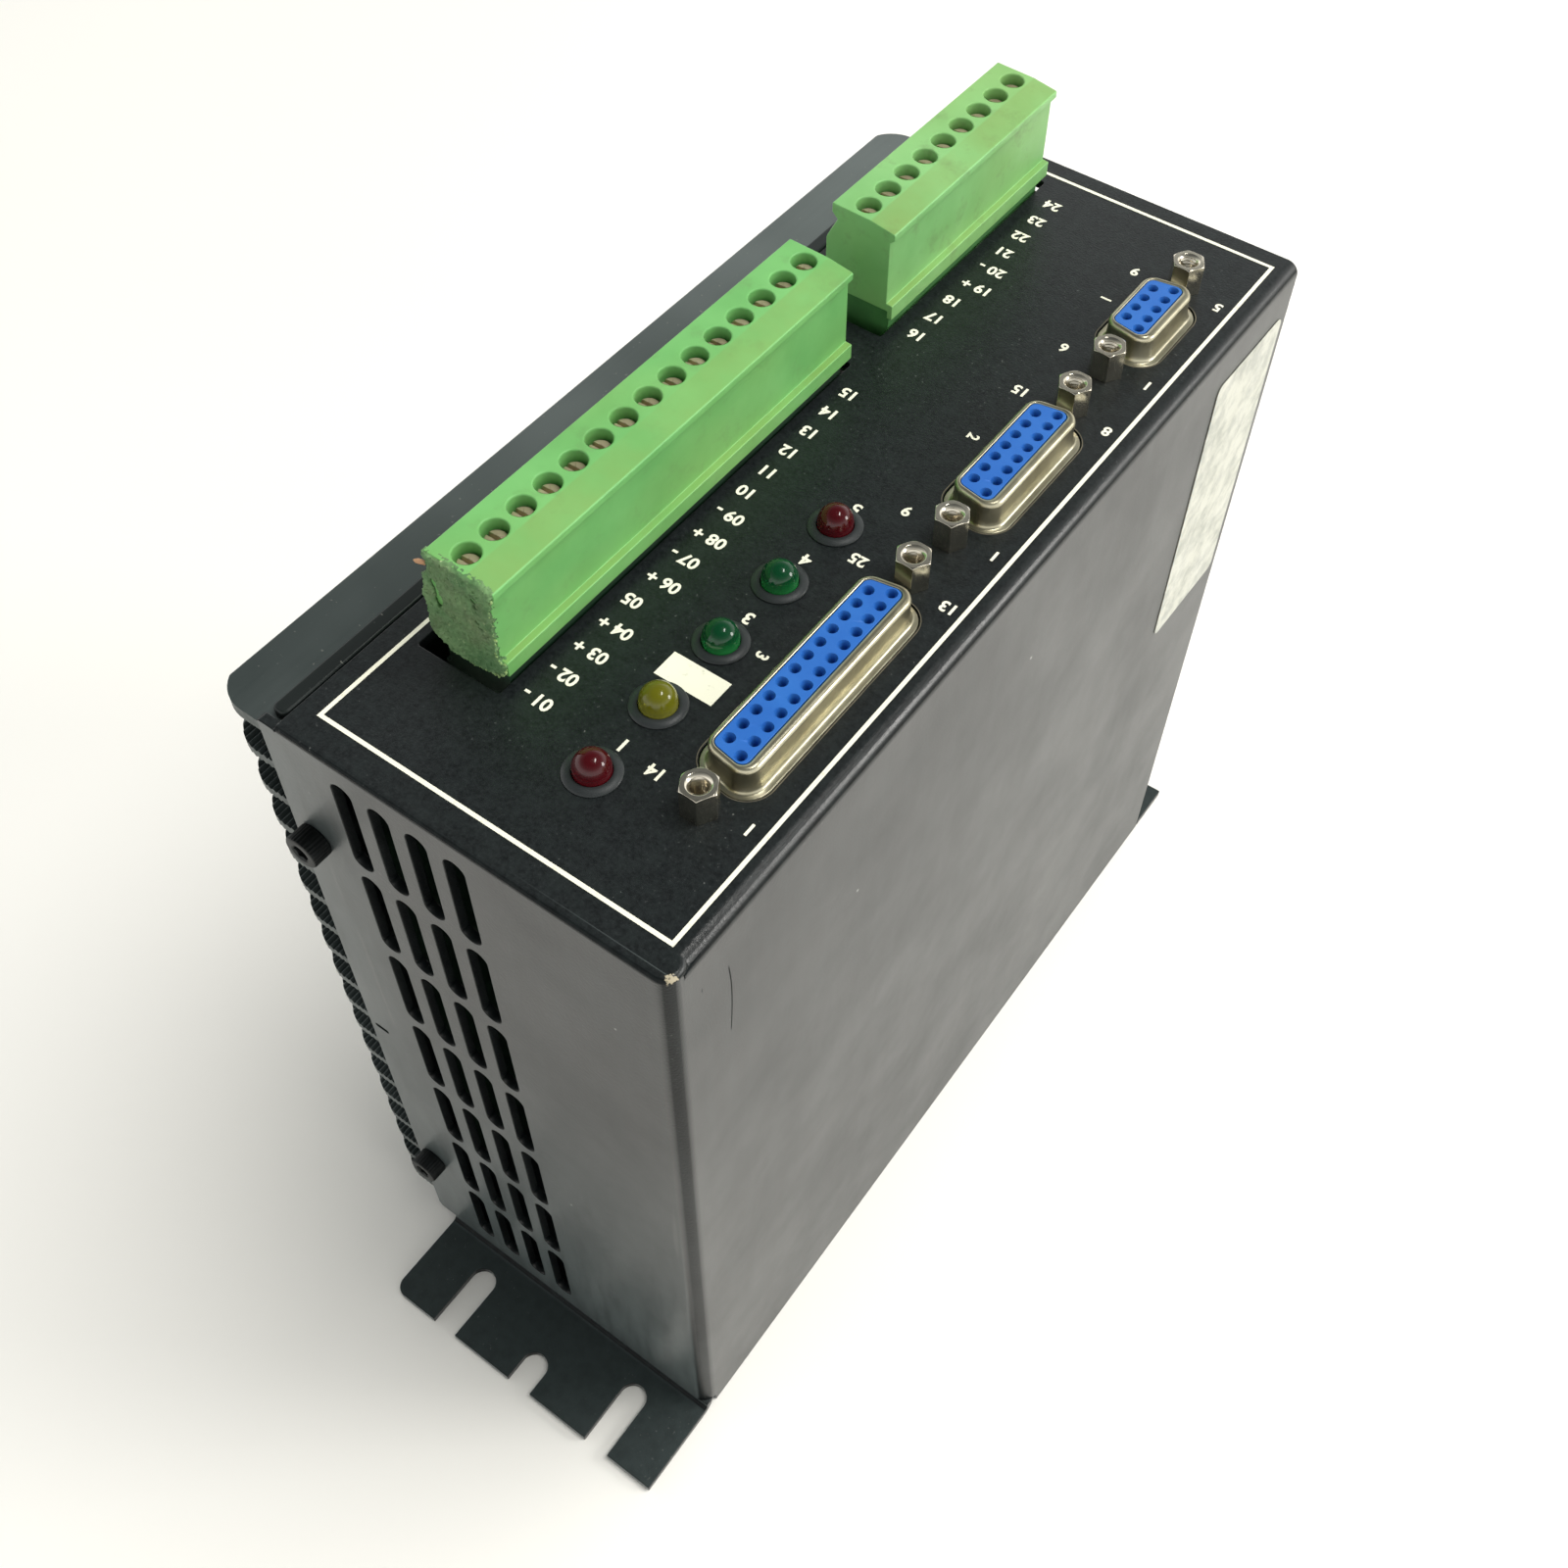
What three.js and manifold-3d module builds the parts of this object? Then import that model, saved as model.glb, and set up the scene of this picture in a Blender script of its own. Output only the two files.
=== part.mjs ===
// Stepper driver module: a sheet-metal box with a finned heatsink, pluggable terminals and D-sub ports.
// Millimetres, +Z up. The base stands on z = 0 and the connector panel faces up.
// +Y runs from the near vented end to the far end, and +X from the heatsink to the plain side.
import * as THREE from 'three';
import { mergeVertices } from 'three/addons/utils/BufferGeometryUtils.js';
import Module from 'manifold-3d';

const wasm = await Module();
wasm.setup();

// ---- Driving dimensions ----
const GAP = 0.3;                 // clearance between neighbouring pieces
const OVERLAP = 0.4;             // how deep joined shapes run into each other
const SHEET = 1.6;               // steel sheet thickness

const LABEL_THICKNESS = 0.2;
const HALF_WIDTH = 38.1;         // centre to the heatsink's outer edge, and to the label's face
const SIDE_X = HALF_WIDTH - LABEL_THICKNESS;
const HEIGHT = 160;              // mounting face to connector panel
const END_Y = 78.75;             // centre to the outer face of either vented end
const FLANGE_REACH = 17.5;       // how far a flange stands out past its end
const PANEL_LEFT_X = -25.9;
const PANEL_NEAR_Y = -77.35;
const PANEL_FAR_Y = 85.25;       // the cover runs on past the far end
const PANEL_BEND = 2.2;          // outer radius, panel to side
const CORNER_BEND = 2.6;         // outer radius, near end to side
const FOLD_BEND = 0.9;           // outer radius along the top of the near end
const TAB_DROP = 0.5;            // the near end's left tab stops this far below the panel
const PANEL_CORNER = 1.2;        // plan radius on the panel's near corner
const FLANGE_BEND = 1.2;         // inner radius, end to flange

const END_LEFT_X = -29;          // left edge of both end walls
const FLANGE_LEFT_X = -24.9;
const BASE_LEFT_X = -24.1;
const FLANGE_CORNER = 2.5;
const SLOT_WIDTH = 5.3;          // mounting slots, clear of an M5 screw
const SLOT_CENTRES = [-12, 6.7, 25.4];
const SLOT_DEPTHS = [13.4, 7, 13.4];

const VENT_COLUMNS = 4;
const VENT_ROWS = 7;
const VENT_WIDTH = 3.6;
const VENT_LENGTH = 19;
const VENT_FIRST_X = -15.5;
const VENT_PITCH_X = 6.43;
const VENT_TOP_Z = 155.6;
const VENT_PITCH_Z = 21.55;

const CAP_SCREW_X = -24.7;
const CAP_SCREW_Z = { upper: 136.2, lower: 30.3 };
const CAP_HEAD_RADIUS = 2.8;
const CAP_HEAD_HEIGHT = 3.3;
const CAP_SOCKET_RADIUS = 1.4;
const CAP_SOCKET_DEPTH = 1.8;
const CAP_SHANK_RADIUS = 1.5;
const CAP_SHANK_LENGTH = 9;
const NOTCH = { x: -26.3, z: 79.2, width: 2.8, height: 0.9 };

const FIN_COUNT = 17;
const FIN_PITCH = 8.6;
const FIN_THICKNESS = 2;
const FIN_CORNER = 5.5;          // plan radius on every fin and on the top plate
const FIN_END_Y = 78.45;
const SPINE_INNER_X = -26.2;
const SPINE_LEFT_X = -29.4;
const SPINE_BOTTOM_Z = 2;
const BEAD = { left: -28.7, nearY: -76.5, farY: 76.5 };
const BOSS_INNER_X = -22.3;
const BOSS_HEIGHT = 6;

const POLE_PITCH = 5.08;
const POLE_X = -12.7;
const TERMINALS = [
  { poles: 15, firstY: -53.25 },
  { poles: 9, firstY: 34.4 },
];
const PLUG_TOP_Z = HEIGHT + 18.8;
const PLUG_BOTTOM_Z = HEIGHT + 3.7;
const PLUG_END = 2.9;            // end pole to the plug's end
const SKIRT = { inner: -6.6, outer: -5.7, bottom: HEIGHT + 2.4, ledge: HEIGHT + 5 };
const CLAMP_HOLE_RADIUS = 1.95;
const CLAMP_RADIUS = 1.6;
const CLAMP_TOP_Z = HEIGHT + 17.1;
const CLAMP_BOTTOM_Z = HEIGHT + 11.4;
const CLAMP_SLOT = { width: 0.5, depth: 0.9 };
const WIRE_ENTRY = { width: 3.4, bottom: HEIGHT + 5.6, height: 3.8, depth: 6 };
const TONGUE = { left: -16.3, right: -8.6, bottom: HEIGHT - 5.8, end: 1.1 };
const HEADER = { left: -18, right: -6.9, bottom: HEIGHT - 13, top: HEIGHT + 3.4, end: 1.8 };
const TROUGH = { left: -16.7, right: -8.2, floor: HEIGHT - 9, end: 1.3 };
const PIN_SIZE = 1;
const PIN_TOP_Z = HEIGHT + 0.3;
const SOCKET_SIZE = 1.7;
const SOCKET_TOP_Z = HEIGHT + 1;
const HEADER_WINDOW = { left: -20.7, right: -6.5, near: 4.45, far: 4.1 };

const DSUB_X = 25.4;
const DSUBS = [
  { name: 'dsub_25', short: '25', y: -33.1, shell: 38.4, flange: 53, jacks: 47.04 },
  { name: 'dsub_15', short: '15', y: 16.7, shell: 24.8, flange: 39.1, jacks: 33.32 },
  { name: 'dsub_9', short: '9', y: 56.1, shell: 16.4, flange: 30.8, jacks: 24.99 },
];
const DSUB_SHELL_HEIGHT = 8;
const DSUB_FLANGE_HEIGHT = 12.5;
const DSUB_FLANGE_THICKNESS = 1;
const DSUB_FACE_Z = HEIGHT + 4.6;
const DSUB_WALL = 0.45;
const DSUB_SLOPE = Math.tan(THREE.MathUtils.degToRad(10));
const DSUB_CORNER = 2.4;
const DSUB_WINDOW_MARGIN = 1.5;
const DSUB_REAR_BOTTOM_Z = HEIGHT - 14;

const JACK_HOLE_RADIUS = 1.65;
const JACK_SHANK_RADIUS = 1.3;
const JACK_HEX_RADIUS = 4.75 / Math.sqrt(3);
const JACK_TOP_Z = HEIGHT + 5.2;
const JACK_SHANK_BOTTOM_Z = HEIGHT - 8;
const JACK_BORE_RADIUS = 1.3;
const JACK_BORE_DEPTH = 4.2;

const LED_X = 11.2;
const LED_CENTRE_Y = -33.8;
const LED_PITCH = 13.2;
const LED_COLOURS = [0x8a1520, 0xa8a020, 0x138a3c, 0x138a3c, 0x8a1520];
const LED_RADIUS = 2.6;
const LED_BARREL_RADIUS = 2.7;
const LED_HOLE_RADIUS = 3.1;
const BEZEL_RADIUS = 3.95;
const BEZEL_HEIGHT = 0.8;
const LED_SHOULDER_Z = HEIGHT + 1.2;
const LED_BOTTOM_Z = HEIGHT - 10;

const LABEL = { nearY: 60.7, farY: 83.1, bottom: 91, top: 151 };

const POWER_BOARD = { x: [-20.7, -19.1], y: [-72, 72], z: [20, 150] };
const CONTROL_BOARD = { x: [16.2, 17.8], y: [-72, 74], z: [40, 152] };
const POWER_MODULE = { x: [-25.9, -21], y: [-45, 15], z: [60, 108] };
const RECTIFIER = { x: [-25.9, -21], y: [32, 60], z: [64, 96] };
const CAPACITOR = { radius: 15, left: -18.8, right: 8, z: 72 };
const CAPACITOR_YS = { near: -34, far: 26 };

// ---- Shape helpers ----
const point = (x, y, radius = 0) => ({ x, y, radius });

// A closed outline whose corners carry their own radii.
function roundedShape(corners, segments = 4) {
  const outline = [];
  corners.forEach((corner, index) => {
    const here = new THREE.Vector2(corner.x, corner.y);
    if (corner.radius === 0) {
      outline.push(here);
      return;
    }
    const before = corners[(index + corners.length - 1) % corners.length];
    const after = corners[(index + 1) % corners.length];
    const toBefore = new THREE.Vector2(before.x, before.y).sub(here).normalize();
    const toAfter = new THREE.Vector2(after.x, after.y).sub(here).normalize();
    const half = Math.acos(toBefore.dot(toAfter)) / 2;
    const middle = toBefore.clone().add(toAfter).normalize();
    const centre = here.clone().addScaledVector(middle, corner.radius / Math.sin(half));
    const start = here.clone().addScaledVector(toBefore, corner.radius / Math.tan(half)).sub(centre);
    const end = here.clone().addScaledVector(toAfter, corner.radius / Math.tan(half)).sub(centre);
    const turn = Math.atan2(start.cross(end), start.dot(end));
    for (let step = 0; step <= segments; step += 1) {
      const spoke = start.clone().rotateAround(new THREE.Vector2(), (turn * step) / segments);
      outline.push(spoke.add(centre));
    }
  });
  return new THREE.Shape(outline);
}

function rectangle(left, bottom, right, top, radius = 0, segments = 4) {
  const corners = [
    point(left, bottom, radius),
    point(right, bottom, radius),
    point(right, top, radius),
    point(left, top, radius),
  ];
  return roundedShape(corners, segments);
}

function toSolid(geometry) {
  const bare = geometry.clone();
  bare.deleteAttribute('normal');
  bare.deleteAttribute('uv');
  const merged = mergeVertices(bare, 1e-4);
  return new wasm.Manifold(new wasm.Mesh({
    numProp: 3,
    vertProperties: new Float32Array(merged.attributes.position.array),
    triVerts: new Uint32Array(merged.index.array),
  }));
}

function extrusion(shape, depth) {
  return new THREE.ExtrudeGeometry(shape, { depth, bevelEnabled: false, curveSegments: 6 });
}

// An outline in X and Y, from z = low to z = high.
function alongZ(shape, low, high) {
  return toSolid(extrusion(shape, high - low).translate(0, 0, low));
}

// An outline in X and Z, from y = low to y = high.
function alongY(shape, low, high) {
  return toSolid(extrusion(shape, high - low).rotateX(Math.PI / 2).translate(0, high, 0));
}

// An outline in Y and Z, from x = low to x = high.
function alongX(shape, low, high) {
  const turn = new THREE.Matrix4().set(0, 0, 1, 0, 1, 0, 0, 0, 0, 1, 0, 0, 0, 0, 0, 1);
  return toSolid(extrusion(shape, high - low).applyMatrix4(turn).translate(low, 0, 0));
}

function block([x0, x1], [y0, y1], [z0, z1]) {
  return alongZ(rectangle(x0, y0, x1, y1), z0, z1);
}

function post(x, y, low, high, radius, sides = 12) {
  const geometry = new THREE.CylinderGeometry(radius, radius, high - low, sides);
  return toSolid(geometry.rotateX(Math.PI / 2).translate(x, y, (low + high) / 2));
}

function rod(x, z, low, high, radius, sides = 12) {
  const geometry = new THREE.CylinderGeometry(radius, radius, high - low, sides);
  return toSolid(geometry.translate(x, (low + high) / 2, z));
}

// An upright post whose top edge is rounded over by bend.
function domedPost(x, y, low, high, radius, bend, sides = 16) {
  const profile = [new THREE.Vector2(0, low), new THREE.Vector2(radius, low)];
  for (let step = 0; step <= 4; step += 1) {
    const angle = (Math.PI / 2) * (step / 4);
    profile.push(new THREE.Vector2(
      radius - bend + bend * Math.cos(angle),
      high - bend + bend * Math.sin(angle),
    ));
  }
  profile.push(new THREE.Vector2(0, high));
  const turned = new THREE.LatheGeometry(profile, sides).rotateX(Math.PI / 2);
  return toSolid(turned.translate(x, y, 0));
}

const joined = (solids) => solids.reduce((whole, solid) => whole.add(solid));
const cutBy = (solid, cutters) => solid.subtract(joined(cutters));
const poleYs = ({ poles, firstY }) => Array.from({ length: poles }, (_, i) => firstY + i * POLE_PITCH);
const lastPoleY = ({ poles, firstY }) => firstY + (poles - 1) * POLE_PITCH;

// ---- Materials ----
const finish = (color, roughness, metalness) => new THREE.MeshStandardMaterial({
  color, roughness, metalness,
});
const PAINT = finish(0x24282a, 0.45, 0.1);
const ANODISED = finish(0x2b3031, 0.5, 0.6);
const BLACK_STEEL = finish(0x1b1c1d, 0.4, 0.8);
const PLATED = finish(0xb9b4a4, 0.3, 1);
const GREEN = finish(0x6fbf62, 0.5, 0);
const BLUE = finish(0x2f7fd6, 0.45, 0);
const BOARD = finish(0x1f5a33, 0.6, 0);
const EPOXY = finish(0x1a1a1a, 0.6, 0);
const SLEEVE = finish(0x20242c, 0.4, 0);
const PAPER = finish(0xdad9d0, 0.8, 0);

// ---- Assembly ----
const module = new THREE.Group();

function add(name, solid, material) {
  const { vertProperties, triVerts } = solid.getMesh();
  const geometry = new THREE.BufferGeometry();
  geometry.setAttribute('position', new THREE.BufferAttribute(vertProperties, 3));
  geometry.setIndex(new THREE.BufferAttribute(triVerts, 1));
  geometry.computeVertexNormals();
  const mesh = new THREE.Mesh(geometry, material);
  mesh.name = name;
  module.add(mesh);
}

// ---- Sheet metal ----
// The vent slots, cap-screw holes and tab notch of one end wall, for side = -1 (near) or 1 (far).
function endWallCutters(side) {
  const outer = side * (END_Y + 1);
  const inner = side * (END_Y - SHEET - 1);
  const [low, high] = [Math.min(outer, inner), Math.max(outer, inner)];
  const cutters = [];
  for (let column = 0; column < VENT_COLUMNS; column += 1) {
    for (let row = 0; row < VENT_ROWS; row += 1) {
      const left = VENT_FIRST_X - VENT_WIDTH / 2 + column * VENT_PITCH_X;
      const top = VENT_TOP_Z - row * VENT_PITCH_Z;
      const round = VENT_WIDTH * 0.499;
      const outline = rectangle(left, top - VENT_LENGTH, left + VENT_WIDTH, top, round, 2);
      cutters.push(alongY(outline, low, high));
    }
  }
  Object.values(CAP_SCREW_Z).forEach((z) => {
    cutters.push(rod(CAP_SCREW_X, z, low, high, CAP_SHANK_RADIUS + GAP + 0.1));
  });
  const notch = rectangle(
    NOTCH.x - NOTCH.width / 2,
    NOTCH.z - NOTCH.height / 2,
    NOTCH.x + NOTCH.width / 2,
    NOTCH.z + NOTCH.height / 2,
  );
  cutters.push(alongY(notch, low, high));
  return cutters;
}

// The bend at an end wall's foot and its slotted flange, from x = left to x = right.
function flange(side, left, right) {
  const wallOuter = side * END_Y;
  const wallInner = side * (END_Y - SHEET);
  const tip = side * (END_Y + FLANGE_REACH);
  const shoulder = SHEET + FLANGE_BEND + 3;
  const corners = [
    point(wallInner, shoulder),
    point(wallInner, 0, SHEET + FLANGE_BEND),
    point(tip, 0),
    point(tip, SHEET),
    point(wallOuter, SHEET, FLANGE_BEND),
    point(wallOuter, shoulder),
  ];
  return alongX(roundedShape(side < 0 ? corners.reverse() : corners), left, right);
}

function flangeCutters(side) {
  const tip = side * (END_Y + FLANGE_REACH);
  const beyond = tip + side * 4;
  const slots = SLOT_CENTRES.map((x, index) => {
    const closed = tip - side * SLOT_DEPTHS[index];
    const outline = rectangle(
      x - SLOT_WIDTH / 2,
      Math.min(closed, beyond),
      x + SLOT_WIDTH / 2,
      Math.max(closed, beyond),
      SLOT_WIDTH * 0.499,
    );
    return alongZ(outline, -1, SHEET + 1);
  });
  const corner = block(
    [FLANGE_LEFT_X - 1, FLANGE_LEFT_X + FLANGE_CORNER],
    side < 0 ? [tip - 1, tip + FLANGE_CORNER] : [tip - FLANGE_CORNER, tip + 1],
    [-1, SHEET + 1],
  ).subtract(post(FLANGE_LEFT_X + FLANGE_CORNER, tip - side * FLANGE_CORNER, -2, SHEET + 2, FLANGE_CORNER, 24));
  return [...slots, corner];
}

// Trims the lower left corner of an end wall.
function wallCornerCutter() {
  const outline = roundedShape([
    point(END_LEFT_X - 1, 0),
    point(END_LEFT_X + 2.5, 0),
    point(END_LEFT_X - 1, 5.5),
  ]);
  return alongY(outline, -END_Y - 1, END_Y + 1);
}

// A D-sub outline: long along Y, with the longer side towards +X.
function dOutline(y, length, height, radius) {
  const narrow = length / 2 - height * DSUB_SLOPE;
  return roundedShape([
    point(DSUB_X - height / 2, y - narrow, radius),
    point(DSUB_X + height / 2, y - length / 2, radius),
    point(DSUB_X + height / 2, y + length / 2, radius),
    point(DSUB_X - height / 2, y + narrow, radius),
  ]);
}

function panelCutters() {
  const [low, high] = [HEIGHT - SHEET - 1, HEIGHT + 1];
  const headerWindows = TERMINALS.map((terminal) => block(
    [HEADER_WINDOW.left, HEADER_WINDOW.right],
    [terminal.firstY - HEADER_WINDOW.near, lastPoleY(terminal) + HEADER_WINDOW.far],
    [low, high],
  ));
  const dWindows = DSUBS.map(({ y, shell }) => alongZ(dOutline(
    y,
    shell + 2 * DSUB_WINDOW_MARGIN,
    DSUB_SHELL_HEIGHT + 2 * DSUB_WINDOW_MARGIN,
    DSUB_CORNER + DSUB_WINDOW_MARGIN,
  ), low, high));
  const jackHoles = DSUBS.flatMap(({ y, jacks }) => [-1, 1].map(
    (end) => post(DSUB_X, y + (end * jacks) / 2, low, high, JACK_HOLE_RADIUS),
  ));
  const ledHoles = ledYs().map((y) => post(LED_X, y, low, high, LED_HOLE_RADIUS, 16));
  return [...headerWindows, ...dWindows, ...jackHoles, ...ledHoles];
}

function ledYs() {
  return LED_COLOURS.map((_, index) => LED_CENTRE_Y + (index - 2) * LED_PITCH);
}

function addCover() {
  const bendEndY = -END_Y + CORNER_BEND;
  const insideX = SIDE_X - SHEET;
  const underside = HEIGHT - SHEET;
  const foldFoot = HEIGHT - FOLD_BEND;
  const stripBottom = underside - 1;
  const bentSection = (bottom) => roundedShape([
    point(PANEL_LEFT_X, underside),
    point(insideX, underside, PANEL_BEND - SHEET),
    point(insideX, bottom),
    point(SIDE_X, bottom),
    point(SIDE_X, HEIGHT, PANEL_BEND),
    point(PANEL_LEFT_X, HEIGHT),
  ]);
  const panelAndSide = alongY(bentSection(0), bendEndY, PANEL_FAR_Y);
  const nearStripPlan = alongZ(roundedShape([
    point(PANEL_LEFT_X, PANEL_NEAR_Y),
    point(SIDE_X, PANEL_NEAR_Y, PANEL_CORNER),
    point(SIDE_X, bendEndY + OVERLAP),
    point(PANEL_LEFT_X, bendEndY + OVERLAP),
  ]), stripBottom - 1, HEIGHT + 1);
  const panelNearStrip = alongY(bentSection(stripBottom), PANEL_NEAR_Y, bendEndY + OVERLAP)
    .intersect(nearStripPlan);
  const nearWall = alongZ(roundedShape([
    point(END_LEFT_X, -END_Y),
    point(SIDE_X, -END_Y, CORNER_BEND),
    point(SIDE_X, bendEndY + OVERLAP),
    point(insideX, bendEndY + OVERLAP),
    point(insideX, -END_Y + SHEET, CORNER_BEND - SHEET),
    point(END_LEFT_X, -END_Y + SHEET),
  ]), SHEET + FLANGE_BEND, foldFoot);
  const foldStart = foldFoot - OVERLAP;
  const topFold = alongX(roundedShape([
    point(-END_Y, foldStart),
    point(-END_Y + SHEET, foldStart),
    point(-END_Y + SHEET, HEIGHT),
    point(-END_Y, HEIGHT, FOLD_BEND),
  ]), PANEL_LEFT_X, SIDE_X - CORNER_BEND);
  const tab = block(
    [END_LEFT_X, PANEL_LEFT_X + OVERLAP],
    [-END_Y, -END_Y + SHEET],
    [foldStart, HEIGHT - TAB_DROP],
  );
  const cornerX = SIDE_X - CORNER_BEND;
  const cornerPost = domedPost(cornerX, bendEndY, foldStart, HEIGHT, CORNER_BEND, FOLD_BEND);
  const sheet = joined([
    panelAndSide,
    panelNearStrip,
    nearWall,
    topFold,
    tab,
    cornerPost,
    flange(-1, FLANGE_LEFT_X, SIDE_X),
  ]);
  const cutters = [
    ...panelCutters(),
    ...endWallCutters(-1),
    ...flangeCutters(-1),
    wallCornerCutter(),
  ];
  add('cover', cutBy(sheet, cutters), PAINT);
}

function addFarEndPlate() {
  const right = SIDE_X - SHEET - GAP;
  const wall = block(
    [END_LEFT_X, right],
    [END_Y - SHEET, END_Y],
    [SHEET + FLANGE_BEND, HEIGHT - SHEET - GAP],
  );
  const flangeEar = block(
    [right - OVERLAP, SIDE_X],
    [PANEL_FAR_Y + GAP, END_Y + FLANGE_REACH],
    [0, SHEET],
  );
  const plate = joined([wall, flange(1, FLANGE_LEFT_X, right), flangeEar]);
  const cutters = [...endWallCutters(1), ...flangeCutters(1), wallCornerCutter()];
  add('far_end_plate', cutBy(plate, cutters), PAINT);
}

function addBasePlate() {
  const plate = block(
    [BASE_LEFT_X, SIDE_X - SHEET - GAP],
    [-END_Y + SHEET + GAP, END_Y - SHEET - GAP],
    [0, SHEET],
  );
  add('base_plate', plate, PAINT);
}

// ---- Heatsink ----
function addHeatsink() {
  const plateTop = HEIGHT - SHEET;
  const spineEnd = END_Y - SHEET - GAP;
  const spine = block([SPINE_LEFT_X, SPINE_INNER_X], [-spineEnd, spineEnd], [SPINE_BOTTOM_Z, plateTop]);
  const finLeft = -HALF_WIDTH;
  const finPlan = (right) => roundedShape([
    point(finLeft, -FIN_END_Y, FIN_CORNER),
    point(right, -FIN_END_Y),
    point(right, FIN_END_Y),
    point(finLeft, FIN_END_Y, FIN_CORNER),
  ]);
  const fins = [];
  for (let index = 0; index <= FIN_COUNT; index += 1) {
    const top = plateTop - index * FIN_PITCH;
    fins.push(alongZ(finPlan(END_LEFT_X - GAP), top - FIN_THICKNESS, top));
  }
  const bead = alongZ(rectangle(
    BEAD.left,
    BEAD.nearY,
    SPINE_INNER_X,
    BEAD.farY,
    (SPINE_INNER_X - BEAD.left) * 0.4,
  ), plateTop - OVERLAP, HEIGHT);
  const bosses = Object.values(CAP_SCREW_Z).map((z) => block(
    [SPINE_INNER_X - OVERLAP, BOSS_INNER_X],
    [-spineEnd, spineEnd],
    [z - BOSS_HEIGHT / 2, z + BOSS_HEIGHT / 2],
  ));
  const tapped = Object.values(CAP_SCREW_Z).flatMap((z) => [-1, 1].map((side) => {
    const mouth = side * (spineEnd + 1);
    const bottom = side * (END_Y - CAP_SHANK_LENGTH - 2);
    return rod(CAP_SCREW_X, z, Math.min(mouth, bottom), Math.max(mouth, bottom), CAP_SHANK_RADIUS + GAP);
  }));
  add('heatsink', cutBy(joined([spine, ...fins, bead, ...bosses]), tapped), ANODISED);
}

function addCapScrews() {
  Object.entries({ near: -1, far: 1 }).forEach(([end, side]) => {
    Object.entries(CAP_SCREW_Z).forEach(([level, z]) => {
      const seat = side * (END_Y + 0.05);
      const face = seat + side * CAP_HEAD_HEIGHT;
      const tip = seat - side * CAP_SHANK_LENGTH;
      const pocket = face - side * CAP_SOCKET_DEPTH;
      const between = (a, b) => [Math.min(a, b), Math.max(a, b)];
      const head = rod(CAP_SCREW_X, z, ...between(seat, face), CAP_HEAD_RADIUS, 20);
      const shank = rod(CAP_SCREW_X, z, ...between(tip, seat + side * OVERLAP), CAP_SHANK_RADIUS);
      const socket = rod(CAP_SCREW_X, z, ...between(pocket, face + side), CAP_SOCKET_RADIUS, 6);
      add(`cap_screw_${end}_${level}`, head.add(shank).subtract(socket), BLACK_STEEL);
    });
  });
}

// ---- Pluggable terminals ----
function plugSection() {
  return roundedShape([
    point(-17.3, PLUG_TOP_Z),
    point(-17.3, PLUG_TOP_Z - 1.6),
    point(-16.3, PLUG_TOP_Z - 2.6),
    point(-18.2, PLUG_TOP_Z - 6.4, 1),
    point(-18.2, PLUG_BOTTOM_Z + 1.3),
    point(-17.2, PLUG_BOTTOM_Z),
    point(SKIRT.inner, PLUG_BOTTOM_Z),
    point(SKIRT.inner, SKIRT.bottom),
    point(SKIRT.outer, SKIRT.bottom),
    point(SKIRT.outer, SKIRT.ledge),
    point(-6.8, SKIRT.ledge + 0.1),
    point(-6.8, PLUG_TOP_Z - 2.7),
    point(-6, PLUG_TOP_Z - 2),
    point(-6, PLUG_TOP_Z - 0.9),
    point(-10.4, PLUG_TOP_Z - 0.2),
  ]);
}

function addPlug(terminal) {
  const [first, last] = [terminal.firstY, lastPoleY(terminal)];
  const body = alongY(plugSection(), first - PLUG_END, last + PLUG_END);
  const tongue = block(
    [TONGUE.left, TONGUE.right],
    [first - TONGUE.end, last + TONGUE.end],
    [TONGUE.bottom, PLUG_BOTTOM_Z + OVERLAP],
  );
  const cutters = poleYs(terminal).flatMap((y) => [
    post(POLE_X, y, CLAMP_BOTTOM_Z - GAP, PLUG_TOP_Z + 1, CLAMP_HOLE_RADIUS),
    block(
      [-20, -18.2 + WIRE_ENTRY.depth],
      [y - WIRE_ENTRY.width / 2, y + WIRE_ENTRY.width / 2],
      [WIRE_ENTRY.bottom, WIRE_ENTRY.bottom + WIRE_ENTRY.height],
    ),
    block(
      [POLE_X - SOCKET_SIZE / 2, POLE_X + SOCKET_SIZE / 2],
      [y - SOCKET_SIZE / 2, y + SOCKET_SIZE / 2],
      [TONGUE.bottom - 1, SOCKET_TOP_Z],
    ),
  ]);
  add(`terminal_plug_${terminal.poles}`, cutBy(body.add(tongue), cutters), GREEN);
}

function addHeader(terminal) {
  const [first, last] = [terminal.firstY, lastPoleY(terminal)];
  const body = block(
    [HEADER.left, HEADER.right],
    [first - HEADER.end, last + HEADER.end],
    [HEADER.bottom, HEADER.top],
  );
  const foot = block(
    [POWER_BOARD.x[1] + GAP, HEADER.left + OVERLAP],
    [first - HEADER.end, last + HEADER.end],
    [HEADER.bottom, HEADER.bottom + 9],
  );
  const trough = block(
    [TROUGH.left, TROUGH.right],
    [first - TROUGH.end, last + TROUGH.end],
    [TROUGH.floor, HEADER.top + 1],
  );
  const pins = poleYs(terminal).map((y) => block(
    [POLE_X - PIN_SIZE / 2, POLE_X + PIN_SIZE / 2],
    [y - PIN_SIZE / 2, y + PIN_SIZE / 2],
    [TROUGH.floor - OVERLAP, PIN_TOP_Z],
  ));
  const header = joined([body.add(foot).subtract(trough), ...pins]);
  add(`terminal_header_${terminal.poles}`, header, GREEN);
}

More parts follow.
